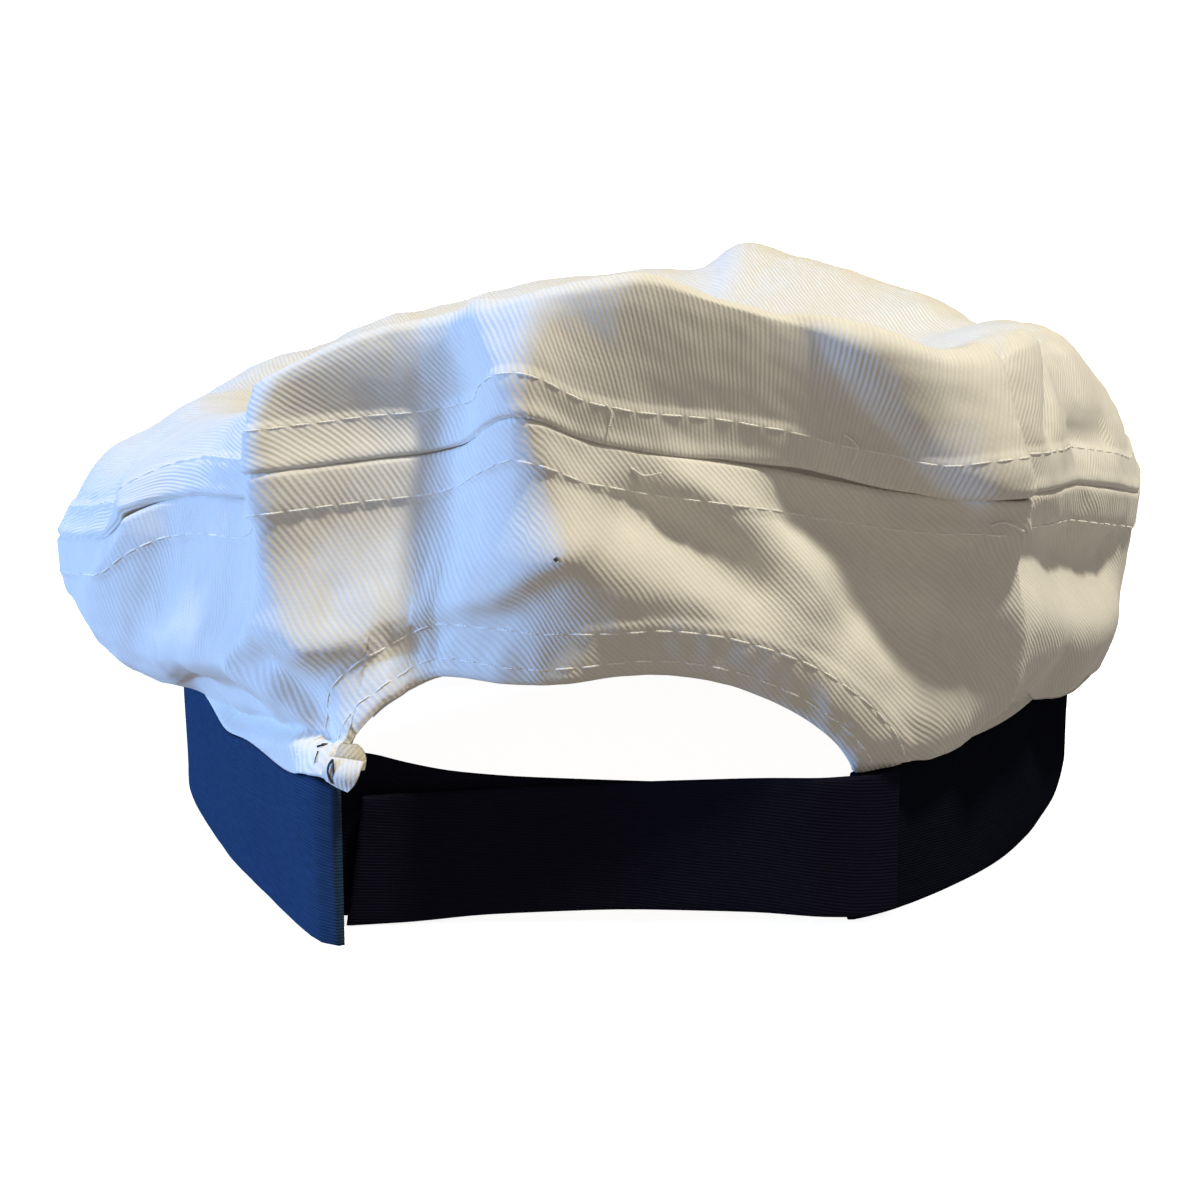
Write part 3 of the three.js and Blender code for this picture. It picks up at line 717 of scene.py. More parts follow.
@dataclass
class HeadLine:
    """The line round the head that the band follows, and the crown's section table."""

    reach: float = 2.2
    band_reach: float = 4.0
    band_height: float = 25.4
    front_lift: float = 14.0
    lift_start_y: float = 40.0
    lift_end_y: float = -104.0
    edge_waves: tuple[tuple[float, float, float], ...] = ((26.5, 4.0, 2.0), (53.0, 7.0, -2.0))

    def section(self, name: str, angle: Array, reach: float | None = None) -> Array:
        """Read one column of the section table, closed round the head.

        Args:
            name: Column to read.
            angle: Angles to read at.
            reach: How far a corner is rounded, in degrees.

        Returns:
            The column's value at each angle.
        """
        keys = SECTIONS[:, 0]
        column = SECTIONS[:, SECTION_COLUMNS.index(name)]
        turns = np.concatenate([keys - 360.0, keys, keys + 360.0])
        thrice = np.tile(column, 3)
        within = (np.asarray(angle, float) + 180.0) % 360.0 - 180.0
        width = self.reach if reach is None else reach
        return sum(weight * np.interp(within + share * width, turns, thrice) for share, weight in ROUNDING)

    def radius(self, angle: Array) -> Array:
        """Radius of the band's outer face."""
        return self.section("band_r", angle, self.band_reach)

    def lower(self, angle: Array) -> Array:
        """Height of the band's lower edge, which lifts towards the front."""
        y = self.radius(angle) * np.cos(np.radians(angle))
        return self.front_lift * smoothstep(0.0, self.lift_start_y - self.lift_end_y, self.lift_start_y - y)

    def upper(self, angle: Array) -> Array:
        """Height of the band's upper edge, with its slow waves (angle, spread, height)."""
        waves = sum(height * bell(angle - place, spread) for place, spread, height in self.edge_waves)
        return self.lower(angle) + self.band_height + waves


@dataclass
class Arch:
    """The arched opening at the back: a flat arc that falls more steeply on the left."""

    height: float = 45.0
    middle: float = -5.0
    left: float = 24.6
    right: float = -28.6
    left_curve: tuple[float, float] = (4.2, 2.4)
    right_curve: tuple[float, float] = (2.0, 1.25)

    def edge(self, angle: Array, base: Array) -> Array:
        """Height of the edge: base + (height - base) (1 - share^a)^(1/b) on each side.

        Args:
            angle: Angles to read at.
            base: Height of the band's upper edge there.

        Returns:
            The height of the arch, or of the base beside it.
        """
        leftward = angle >= self.middle
        end = np.where(leftward, self.left, self.right)
        fall = np.where(leftward, self.left_curve[0], self.right_curve[0])
        flat = np.where(leftward, self.left_curve[1], self.right_curve[1])
        share = np.clip((angle - self.middle) / (end - self.middle), 0.0, 1.0)
        return base + (self.height - base) * (1.0 - share**fall) ** (1.0 / flat)

    def spans(self, angle: Array) -> Array:
        """Tell whether angles lie within the opening."""
        return (angle > self.right) & (angle < self.left)


@dataclass
class Crown:
    """White crown: a top panel and a side panel that meet in a topstitched seam."""

    line: HeadLine
    arch: Arch
    wall: float = 1.1
    gap: float = 0.3
    inset: float = 0.2
    side_stops: tuple[float, ...] = (0.0, 0.55, 0.8, 1.0)
    side_reach: float = 0.2
    skirt: tuple[float, float] = (0.3, 0.556)
    skirt_angle: float = 23.0
    skirt_spread: float = 11.0
    top_stops: tuple[float, ...] = (-1.0, -0.86, -0.66, -0.42, -0.2, 0.0)
    top_reach: float = 0.09
    middle_height: float = 79.0
    disc_share: float = 0.24
    ring_share: float = 0.62
    sag: float = 4.0
    ring_reach: float = 26.0
    lip_inward: float = 0.3
    lip_upward: float = 0.42
    lip_out: float = 1.2
    side_radius: float = 91.0
    cut_radius: float = 112.0
    grain: tuple[tuple[float, ...], tuple[float, ...]] = ((-90.0, -30.0, -5.0, 35.0, 90.0), (48.0, 47.0, 44.0, 26.0, 12.0))
    seam_row: float = 6.6
    hem_rows: tuple[float, float] = (2.8, 8.1)
    plan_wrinkles: tuple[float, float] = (0.4, 0.66)
    fold_lines: list[tuple[Fold, Array, Array]] = field(default_factory=list)
    arch_line: Array = field(default_factory=lambda: np.zeros((0, 3)))

    def __post_init__(self) -> None:
        """Work out the lines of the folds and of the arch on the smooth crown."""
        for fold in FOLDS:
            angles, downs = np.array(fold.path, float).T
            share = np.linspace(0.0, 1.0, len(angles))
            fine = np.linspace(0.0, 1.0, 4 * (len(angles) - 1) + 1)
            angle, down = np.interp(fine, share, angles), np.interp(fine, share, downs)
            self.fold_lines.append((fold, self.base(angle, down), self.flat(angle, down)))
        edge = self.arch_angles(90)
        self.arch_line = self.base(edge, np.ones_like(edge))

    def flat(self, angle: Array, down: Array) -> Array:
        """Give places on the crown unrolled: the run round the head and the distance from the seam."""
        return np.stack([np.radians(angle) * self.side_radius, self.depth(angle, down)], axis=-1)

    def arch_angles(self, count: int) -> Array:
        """Angles across the opening, drawn together at its ends."""
        share = np.linspace(0.0, 1.0, count)
        eased = 0.5 - 0.5 * np.cos(math.pi * share)
        return self.arch.right + (self.arch.left - self.arch.right) * (0.4 * share + 0.6 * eased)

    def side_profile(self, angle: Array) -> tuple[list[Array], list[Array], Array]:
        """Give the side panel's profile at angles.

        Args:
            angle: Angles to read at.

        Returns:
            The radii and heights at its stops, and the stop where the panel ends.
        """
        base = self.line.upper(angle) + self.gap
        radii = [self.line.section(name, angle) for name in ("seam_r", "belly_r")]
        foot = self.line.radius(angle) - self.inset
        heights = [self.line.section(name, angle) for name in ("seam_z", "belly_z")]
        low, down = self.skirt
        out = down + (low - down) * bell(angle - self.skirt_angle, self.skirt_spread)
        radii += [radii[1] + (foot - radii[1]) * out, foot]
        heights += [heights[1] + (base - heights[1]) * down, base]
        rise = np.where(self.arch.spans(angle), (self.arch.edge(angle, base) - base) / (heights[1] - base), 0.0)
        return radii, heights, 1.0 - rise * (self.side_stops[-1] - self.side_stops[1])

    def top_profile(self, angle: Array) -> tuple[list[Array], list[Array]]:
        """Give the top panel's profile at angles, from its middle to the seam.

        Args:
            angle: Angles to read at.

        Returns:
            The radii and the heights at its stops.
        """
        seam_r, seam_z = self.line.section("seam_r", angle), self.line.section("seam_z", angle)
        rim_r, rim_z = self.line.section("rim_r", angle), self.line.section("rim_z", angle)
        ring_z = self.line.section("rim_z", angle, self.ring_reach)
        lip_r = seam_r + (rim_r - seam_r) * self.lip_inward + self.lip_out
        lip_z = seam_z + (rim_z - seam_z) * self.lip_upward
        middle = np.full_like(rim_z, self.middle_height)
        ring = middle + (ring_z - middle) * self.ring_share - self.sag
        radii = [0.0 * rim_r, self.disc_share * rim_r, self.ring_share * rim_r, rim_r, lip_r, seam_r]
        return radii, [middle, middle, ring, rim_z, lip_z, seam_z]

    def base(self, angle: Array, down: Array) -> Array:
        """Give the smooth crown: rounded lines through each angle's profile.

        Args:
            angle: Angles round the head.
            down: -1 at the middle of the top, 0 at the seam, 1 at the band or arch.

        Returns:
            The points.
        """
        angle, down = np.broadcast_arrays(np.asarray(angle, float), np.asarray(down, float))
        radii, heights, end = self.side_profile(angle)
        at = np.maximum(down, 0.0) * end
        side = [along(self.side_stops, values, at, self.side_reach) for values in (radii, heights)]
        at = np.minimum(down, 0.0)
        top = [along(self.top_stops, values, at, self.top_reach) for values in self.top_profile(angle)]
        radius, height = (np.where(down < 0.0, t, s) for t, s in zip(top, side))
        return placed(angle, radius, height)

    def depth(self, angle: Array, down: Array) -> Array:
        """Give the distance from the seam along the profile, below 0 on the top panel."""
        angle, down = np.broadcast_arrays(np.asarray(angle, float), np.asarray(down, float))
        radii, heights, end = self.side_profile(angle)
        side = self._run(self.side_stops, radii, heights, np.maximum(down, 0.0) * end)
        radii, heights = self.top_profile(angle)
        whole = self._run(self.top_stops, radii, heights, np.zeros_like(angle))
        top = self._run(self.top_stops, radii, heights, np.minimum(down, 0.0)) - whole
        return np.where(down < 0.0, top, side)

    @staticmethod
    def _run(stops: Sequence[float], radii: Sequence[Array], heights: Sequence[Array], at: Array) -> Array:
        """Add up the lengths of a profile's straight lines as far as a place on it."""
        total = np.zeros_like(at)
        for k in range(len(stops) - 1):
            length = np.hypot(radii[k + 1] - radii[k], heights[k + 1] - heights[k])
            total = total + length * np.clip((at - stops[k]) / (stops[k + 1] - stops[k]), 0.0, 1.0)
        return total

    def down_at(self, angle: Array, depth: Array) -> Array:
        """Find the place down the side or top panel at a distance from the seam.

        Args:
            angle: Angles round the head.
            depth: Distance from the seam, below 0 on the top panel.

        Returns:
            The places down.
        """
        low = np.where(depth < 0.0, -1.0, 0.0)
        high = low + 1.0
        for _ in range(24):
            half = 0.5 * (low + high)
            short = self.depth(angle, np.where(depth < 0.0, np.minimum(half, -1e-6), half)) < depth
            low, high = np.where(short, half, low), np.where(short, high, half)
        return 0.5 * (low + high)

    def relief(self, angle: Array, down: Array, point: Array) -> Array:
        """Give the height of folds, seam, hem, puckers and wrinkles over the smooth crown.

        Args:
            angle: Angles round the head.
            down: Places down the crown.
            point: The smooth crown's points there.

        Returns:
            The relief in mm.
        """
        flat = self.flat(angle, down)
        u, depth = flat[..., 0], flat[..., 1]
        total = np.zeros_like(depth)
        for fold, line, flat_line in self.fold_lines:
            total += fold.rise(*polyline_reading(point, line, flat, flat_line))
        held = 1.0 - smoothstep(0.965, 1.0, down) * ~self.arch.spans(angle)
        inward = smoothstep(*self.plan_wrinkles, -down)
        total += self._wrinkles(u, depth) * (1.0 - inward) + self._wrinkles(point[..., 0], point[..., 1]) * inward
        total *= held
        off = np.abs(depth)
        seam = 0.5 * (1.0 - smoothstep(6.7, 7.9, off)) - 0.06 * bell(off - self.seam_row, 0.7)
        seam += 0.08 * ripples(u, depth, 7.0, 11, 2.5) * bell(off - 4.0, 4.0)
        seam += np.where(depth < 0.0, 0.25 * bell(off - 1.2, 1.2), 0.0)
        seam -= 0.7 * bell(off, 0.4)
        rim = polyline_distance(point, self.arch_line)
        hem = 0.45 * (1.0 - smoothstep(9.0, 10.4, rim)) - 0.5 * bell(rim, 0.6)
        flare = smoothstep(-4.0, 10.0, angle) * (1.0 - 0.6 * smoothstep(20.0, 28.0, angle))
        hem += 3.6 * bell(rim, 7.0) * flare
        for row in self.hem_rows:
            hem -= 0.06 * bell(rim - row, 0.7)
        hem += 0.10 * ripples(u, depth, 6.0, 13, 2.0) * bell(rim - 4.5, 4.0)
        hem = np.where(down > 0.0, hem, 0.0)
        return total + seam + hem

    @staticmethod
    def _wrinkles(across: Array, length: Array) -> Array:
        """Add slow, middling and fine wrinkles of the cloth."""
        slow = 0.30 * ripples(across, length, 30.0, 3, 1.8)
        return slow + 0.11 * ripples(across, length, 12.0, 5, 1.5) + 0.035 * ripples(across, length, 5.0, 7)

    def surface(self, angle: Array, down: Array) -> Array:
        """Give the worn crown: the smooth crown moved outwards by its relief."""
        angle, down = np.broadcast_arrays(np.asarray(angle, float), np.asarray(down, float))
        point = self.base(angle, down)
        return point + self.outward(angle, down) * self.relief(angle, down, point)[..., None]

    def outward(self, angle: Array, down: Array) -> Array:
        """Give the smooth crown's outward directions."""
        return self._outward(self.base, angle, down)

    def facing(self, angle: Array, down: Array) -> Array:
        """Give the worn crown's outward directions."""
        return self._outward(self.surface, angle, down)

    def _beside(self, angle: Array, down: Array, turn: float) -> tuple[Array, Array]:
        """Give the place at an angle to one side that lies at the same stop of the profile."""
        ends = self.side_profile(angle)[2] / self.side_profile(angle + turn)[2]
        return angle + turn, np.where(down > 0.0, down * ends, down)

    def _outward(self, shape: Callable[[Array, Array], Array], angle: Array, down: Array) -> Array:
        """Cross the differences of a surface round the head and down it."""
        turn, step = 0.25, 0.012
        top = np.asarray(down) < 0.0
        high = np.where(top, np.clip(down + step, -1.0, -1e-6), np.clip(down + step, 0.0, 1.0))
        low = np.where(top, np.clip(down - step, -0.995, -1e-6), np.clip(down - step, 0.0, 1.0))
        round_head = shape(*self._beside(angle, down, turn)) - shape(*self._beside(angle, down, -turn))
        return unit(np.cross(round_head, shape(angle, high) - shape(angle, low)))

    def columns(self) -> Array:
        """Angles of the crown's grid, close together over the back and at the arch's ends."""
        spans = (
            np.linspace(-180.0, -105.0, 52, endpoint=False),
            np.linspace(-105.0, self.arch.right, 150, endpoint=False),
            self.arch_angles(121)[:-1],
            np.linspace(self.arch.left, 115.0, 180, endpoint=False),
            np.linspace(115.0, 180.0, 46, endpoint=False),
        )
        return np.concatenate(spans)

    def build(self) -> list[bpy.types.Object]:
        """Make both panels.

        Returns:
            The top panel and the side panel.
        """
        angles = self.columns()
        share = np.linspace(0.0, 1.0, 68)
        crowded = 0.45 * share + 0.55 * (0.5 - 0.5 * np.cos(math.pi * share))
        middle = np.linspace(-0.985, -0.52, 17, endpoint=False)
        top_rows = np.concatenate([middle, -0.52 * (1.0 - np.linspace(0.0, 1.0, 60)) ** 1.4])
        top_rows[-1] = -1e-6
        pieces = []
        for node, rows, finish in (("crown_top", top_rows, WHITE_TOP), ("crown_side", crowded, WHITE_SIDE)):
            angle, down = np.meshgrid(angles, rows)
            outer = self.surface(angle, down)
            inner = outer - self.outward(angle, down) * self.wall
            if node == "crown_side":
                inner[-1, :, 2] = np.maximum(inner[-1, :, 2], outer[-1, :, 2])
            wide = np.append(angles, 180.0)
            angle, down = np.meshgrid(wide, rows)
            cloth = self.cloth(angle, down) * MM
            points, faces, marks = Maker.wall(outer, inner, cloth, True, node == "crown_top")
            piece = Maker.piece(node + "_cloth", points, faces, marks, cloth.reshape(-1, 2), finish.material())
            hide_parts(node)
            pieces.append(piece)
        return pieces

    def cloth(self, angle: Array, down: Array) -> Array:
        """Give cloth coordinates in mm, the second along the ribs of the side panel.

        The top panel is laid flat as a disc. The side panel is unrolled as a strip whose ribs
        lean by the grain at each angle: (sum of cos lean + depth sin lean, depth cos lean - sum
        of sin lean), summed round the head.

        Args:
            angle: Angles round the head.
            down: Places down the crown.

        Returns:
            The coordinates, with a last axis of 2.
        """
        depth = self.depth(angle, down)
        whole = -self.depth(angle, np.full_like(angle, -1.0))
        cut = self.cut_radius * (1.0 + depth / whole)
        turn = np.radians(angle)
        top = np.stack([cut * np.sin(turn), cut * np.cos(turn)], axis=-1)
        fine = np.linspace(-180.0, 180.0, 721)
        lean = np.radians(np.interp(fine, *self.grain))
        step = math.radians(fine[1] - fine[0]) * self.side_radius
        across, along_rib = np.cumsum(np.cos(lean)) * step, -np.cumsum(np.sin(lean)) * step
        tilt = np.interp(angle, fine, lean)
        side = np.stack([
            np.interp(angle, fine, across) + np.sin(tilt) * depth,
            np.interp(angle, fine, along_rib) + np.cos(tilt) * depth,
        ], axis=-1)
        return np.where((down < 0.0)[..., None], top, side)


@dataclass
class StitchRow:
    """A row of lockstitches along a line on the cloth."""

    pitch: float = 4.1
    length: float = 3.9
    thickness: float = 0.34
    lift: float = -0.01
    sides: int = 6
    rings: int = 5
    jitter: float = 0.10

    def arrays(self, line: Array, facing: Array, seed: int) -> tuple[Array, Array, Array]:
        """Lay short bowed capsules along a line.

        Each stitch runs for its length along the line, bows off the cloth by a fourth-power
        curve, and tapers at its ends where the thread goes in.

        Args:
            line: Points of the line, shape (n, 3).
            facing: Outward directions there.
            seed: Seed of the small differences between stitches.

        Returns:
            The points of shape (stitches, rings, sides, 3), and cloth coordinates per point.
        """
        run = np.concatenate([[0.0], np.cumsum(np.linalg.norm(np.diff(line, axis=0), axis=1))])
        count = max(int(run[-1] / self.pitch), 1)
        draw = np.random.default_rng(seed)
        middle = (np.arange(count) + 0.5) * run[-1] / count
        half = 0.5 * self.length * (1.0 + self.jitter * draw.uniform(-1.0, 1.0, count))
        share = np.linspace(-1.0, 1.0, self.rings)
        at = middle[:, None] + half[:, None] * share
        centre = np.stack([np.interp(at, run, line[:, k]) for k in range(3)], axis=-1)
        out = unit(np.stack([np.interp(at, run, facing[:, k]) for k in range(3)], axis=-1))
        ahead = np.gradient(centre, axis=1)
        side = unit(np.cross(unit(ahead), out))
        slant = self.jitter * self.thickness * draw.uniform(-1.5, 1.5, count)
        bow = self.lift + 0.18 * self.thickness - (0.55 * self.thickness + self.lift) * share**4
        centre = centre + out * bow[:, None] + side * (slant[:, None] * share)[..., None]
        radius = 0.5 * self.thickness * np.sqrt(1.0 - 0.8 * share**4)
        turn = np.linspace(0.0, 2.0 * math.pi, self.sides, endpoint=False)
        ring = side[:, :, None] * np.cos(turn)[:, None] + out[:, :, None] * np.sin(turn)[:, None]
        points = centre[:, :, None] + ring * radius[:, None, None]
        cloth = np.stack(np.broadcast_arrays(at[:, :, None], turn / (2.0 * math.pi)), axis=-1)
        return points, cloth, run

    def faces(self, count: int) -> list[Array]:
        """Number the faces of many stitches.

        Args:
            count: Number of stitches.

        Returns:
            The side faces and the two end faces of every stitch.
        """
        s, j, i = np.meshgrid(np.arange(count), np.arange(self.rings - 1), np.arange(self.sides), indexing="ij")
        size = self.rings * self.sides

        def index(ring: Array, corner: Array) -> Array:
            """Number a point of a stitch."""
            return (s * size + ring * self.sides + corner % self.sides).reshape(-1)

        walls = np.stack([index(j, i), index(j + 1, i), index(j + 1, i + 1), index(j, i + 1)], axis=1)
        first = np.arange(count)[:, None] * size
        cap = np.arange(self.sides)
        return [walls, first + cap, first + size - self.sides + cap[::-1]]

    def build(self, name: str, rows: Sequence[tuple[Array, Array]], thread: Thread, slot: Slot) -> bpy.types.Object:
        """Make one piece of several rows.

        Args:
            name: Name of the piece.
            rows: Line and outward directions of each row.
            thread: The thread.
            slot: Slot of the cloth it is sewn in; not used.

        Returns:
            The piece.
        """
        laid = [self.arrays(line, facing, 40 + k) for k, (line, facing) in enumerate(rows)]
        points = np.concatenate([part[0] for part in laid])
        cloth = np.concatenate([part[1] for part in laid]) * np.array((MM, 1.0))
        faces = self.faces(len(points))
        piece = Maker.piece(name, points.reshape(-1, 3), faces, faces, cloth.reshape(-1, 2), THREADS[thread].material())
        return piece


@dataclass
class CrownSewing:
    """Topstitching of the crown: a row on each side of the seam and two along the arch."""

    crown: Crown
    top_run: tuple[float, float] = (-180.0, 360.0)
    side_run: tuple[float, float] = (-40.5, 354.0)

    def seam_line(self, depth: float, start: float, turn: float) -> tuple[Array, Array]:
        """Give a line at a distance from the seam, from an angle through a turn round the crown."""
        angle = (np.linspace(start, start + turn, 1400) + 180.0) % 360.0 - 180.0
        down = self.crown.down_at(angle, np.full_like(angle, depth))
        return self.crown.surface(angle, down), self.crown.facing(angle, down)

    def hem_line(self, distance: float) -> tuple[Array, Array]:
        """Give a line at a distance from the arch's edge, offset in the unrolled panel.

        Args:
            distance: Distance from the edge, mm.

        Returns:
            The line's points and outward directions.
        """
        crown = self.crown
        edge = crown.arch_angles(260)
        u = np.radians(edge) * crown.side_radius
        z = crown.base(edge, np.ones_like(edge))[:, 2]
        du, dz = np.gradient(u), np.gradient(z)
        size = np.hypot(du, dz)
        angle = np.degrees((u - dz / size * distance) / crown.side_radius)
        height = z + du / size * distance
        down = self.down_to(angle, height)
        keep = (down > 0.02) & (down < 0.985)
        return crown.surface(angle[keep], down[keep]), crown.facing(angle[keep], down[keep])

    def down_to(self, angle: Array, height: Array) -> Array:
        """Find the place down the side panel at a height, by halving."""
        low, high = np.zeros_like(angle), np.ones_like(angle)
        for _ in range(24):
            half = 0.5 * (low + high)
            above = self.crown.base(angle, half)[:, 2] > height
            low, high = np.where(above, half, low), np.where(above, high, half)
        return 0.5 * (low + high)

    def build(self) -> list[bpy.types.Object]:
        """Sew the seam and the hem.

        Returns:
            The pieces of thread.
        """
        row = StitchRow()
        seam = [self.seam_line(side * self.crown.seam_row, *run) for side, run in ((-1.0, self.top_run), (1.0, self.side_run))]
        hem = [self.hem_line(distance) for distance in self.crown.hem_rows]
        return [
            row.build("seam_stitches", seam, Thread.WHITE, Slot.WHITE_TWILL),
            row.build("hem_stitches", hem, Thread.WHITE, Slot.WHITE_TWILL),
        ]


TAB_COLUMNS = ("height", "left", "right", "front")
HEM_FLAP = np.array((
    (32.1, 41.9, 36.1, 92.6),
    (31.6, 42.2, 36.2, 93.3),
    (30.8, 42.6, 36.5, 93.8),
    (29.8, 42.8, 36.8, 94.0),
    (28.8, 42.6, 37.3, 93.9),
    (28.0, 41.7, 37.9, 93.6),
    (27.3, 40.7, 38.6, 93.3),
))
HEM_LINING = np.array((
    (33.4, 40.6, 37.8, 90.4),
    (32.8, 40.9, 37.0, 90.7),
    (32.2, 41.1, 36.5, 91.1),
    (31.5, 41.3, 36.2, 91.5),
    (30.8, 41.5, 36.2, 91.9),
    (29.8, 41.6, 36.4, 92.2),
))


@dataclass
class HemEnd:
    """Turned-up end of the side panel at the left foot of the arch: a flap and its lining."""

    wall: float = 0.9
    reach: float = 0.12
    bulge: float = 0.7

    def patch(self, name: str, table: Array, turn: float, finish: Twill) -> bpy.types.Object:
        """Make a small panel from its table, bowed outwards across its width by a sine.

        Args:
            name: Name of the piece.
            table: Rows of height, left and right edge and distance to the front.
            turn: How much further forward its right edge stands.
            finish: The cloth.

        Returns:
            The piece.
        """
        down, across = np.linspace(0.0, 1.0, 26), np.linspace(0.0, 1.0, 26)
        stops = np.linspace(0.0, 1.0, len(table))
        height, left, right, front = (along(stops, column, down, self.reach)[:, None] for column in table.T)
        bow = self.bulge * np.sin(math.pi * across) * np.sin(math.pi * down[:, None]) + turn * (1.0 - across)
        grid = np.broadcast_arrays(right + (left - right) * across, front + bow, height)
        outer = np.stack(grid, axis=-1)
        inner = outer - np.array((0.0, self.wall, 0.0))
        cloth = outer[..., (0, 2)] * MM
        points, faces, marks = Maker.wall(outer, inner, cloth, False)
        piece = Maker.piece(name, points, faces, marks, cloth.reshape(-1, 2), finish.material())
        return piece

    def build(self) -> list[bpy.types.Object]:
        """Make the flap and the lining behind it, whose beige is partly its own tone and partly painted shade."""
        flap = self.patch("hem_flap", HEM_FLAP, 2.4, WHITE_SIDE)
        return [flap, self.patch("hem_lining", HEM_LINING, 0.0, SHADED_BEIGE_LINING)]


@dataclass(frozen=True)
class Strand:
    """A loose thread end: places on the crown it runs over, its lift at the end and its thread."""

    path: tuple[tuple[float, float], ...]
    lift: float
    radius: float
    thread: Thread


STRANDS = (
    Strand(((-0.8, -0.115), (-1.4, -0.095), (-1.0, -0.06)), 0.5, 0.16, Thread.WHITE),
    Strand(((-3.2, 0.09), (-4.5, 0.115), (-6.5, 0.09)), 0.6, 0.16, Thread.WHITE),
    Strand(((-25.0, -0.145), (-26.6, -0.12), (-26.2, -0.07)), 0.8, 0.18, Thread.WHITE),
    Strand(((-38.6, 0.085), (-39.8, 0.065), (-41.4, 0.08)), 0.7, 0.16, Thread.WHITE),
    Strand(((3.9, 0.497), (3.7, 0.506)), 0.05, 0.3, Thread.NAVY),
    Strand(((27.3, 0.925), (26.9, 0.91), (26.2, 0.925)), 0.3, 0.17, Thread.NAVY),
    Strand(((26.2, 0.94), (25.9, 0.97)), 0.1, 0.10, Thread.NAVY),
)
NAVY_LOOP = np.array((
    (41.1, 93.9, 32.1), (41.7, 94.6, 31.4), (41.8, 95.0, 30.4), (41.5, 95.1, 29.3), (41.0, 94.9, 28.4),
    (40.9, 95.1, 29.4), (40.8, 95.2, 30.5), (40.9, 94.9, 31.4), (41.1, 93.9, 32.1),
))


@dataclass
class LooseEnds:
    """Thread ends left on the crown, and a loop of navy thread at the hem's end."""

    crown: Crown
    rings: int = 25
    sides: int = 6
    loop_radius: float = 0.2

    def tube(self, line: Array, radius: float) -> Array:
        """Give rings of points round a line.

        Args:
            line: Points of the line.
            radius: Radius of the thread.

        Returns:
            The points, shape (rings, sides, 3).
        """
        ahead = unit(np.gradient(line, axis=0))
        side = unit(np.cross(ahead, np.array((0.31, 0.88, 0.36))))
        turn = np.linspace(0.0, 2.0 * math.pi, self.sides, endpoint=False)
        other = np.cross(ahead, side)
        ring = side[:, None] * np.cos(turn)[:, None] + other[:, None] * np.sin(turn)[:, None]
        return line[:, None] + ring * radius

    def lay(self, strand: Strand) -> Array:
        """Lay a strand over the crown, rising towards its free end."""
        share = np.linspace(0.0, 1.0, self.rings)
        stops = np.linspace(0.0, 1.0, len(strand.path))
        angle, down = (along(stops, column, share, 0.2) for column in np.array(strand.path).T)
        out = self.crown.facing(angle, down)
        rise = strand.radius + strand.lift * share**2
        return self.tube(self.crown.surface(angle, down) + out * rise[:, None], strand.radius)

    def loop(self) -> Array:
        """Give the navy loop's rings."""
        share = np.linspace(0.0, 1.0, self.rings)
        stops = np.linspace(0.0, 1.0, len(NAVY_LOOP))
        line = np.stack([along(stops, column, share, 0.06) for column in NAVY_LOOP.T], axis=-1)
        return self.tube(line, self.loop_radius)

    def build(self) -> list[bpy.types.Object]:
        """Make the white and the navy thread ends.

        Returns:
            One piece of each thread.
        """
        pieces = []
        for name, thread, extra in (("loose_white", Thread.WHITE, []), ("loose_navy", Thread.NAVY, [self.loop()])):
            tubes = np.stack([self.lay(strand) for strand in STRANDS if strand.thread is thread] + extra)
            faces = StitchRow(sides=self.sides, rings=self.rings).faces(len(tubes))
            run = np.linspace(0.0, 0.01, self.rings)[None, :, None]
            cloth = np.stack(np.broadcast_arrays(run, np.zeros(tubes.shape[:3])), axis=-1)
            piece = Maker.piece(name, tubes.reshape(-1, 3), faces, faces, cloth.reshape(-1, 2), THREADS[thread].material())
            pieces.append(piece)
        return pieces


@dataclass
class ArchFacing:
    """Strip of cloth sewn inside the arch."""

    crown: Crown
    span: tuple[float, float] = (-26.0, 22.9)
    width_share: float = 0.3
    wall: float = 0.8
    gap: float = 0.15

    def build(self) -> bpy.types.Object:
        """Make the strip behind the last part of the side panel, down to the arch's edge.

        Returns:
            The piece.
        """
        angles = np.linspace(*self.span, 160)
        rows = np.linspace(1.0 - self.width_share, 1.0, 14)
        angle, down = np.meshgrid(angles, rows)
        skin = self.crown.surface(angle, down)
        out = self.crown.outward(angle, down)
        outer = skin - out * (self.crown.wall + self.gap)
        inner = outer - out * self.wall
        cloth = np.stack([np.radians(angle) * self.crown.side_radius, self.crown.depth(angle, down)], axis=-1) * MM
        points, faces, marks = Maker.wall(outer, inner, cloth, False)
        piece = Maker.piece("arch_facing_strip", points, faces, marks, cloth.reshape(-1, 2), WHITE_TAPE.material())
        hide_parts("arch_facing")
        return piece


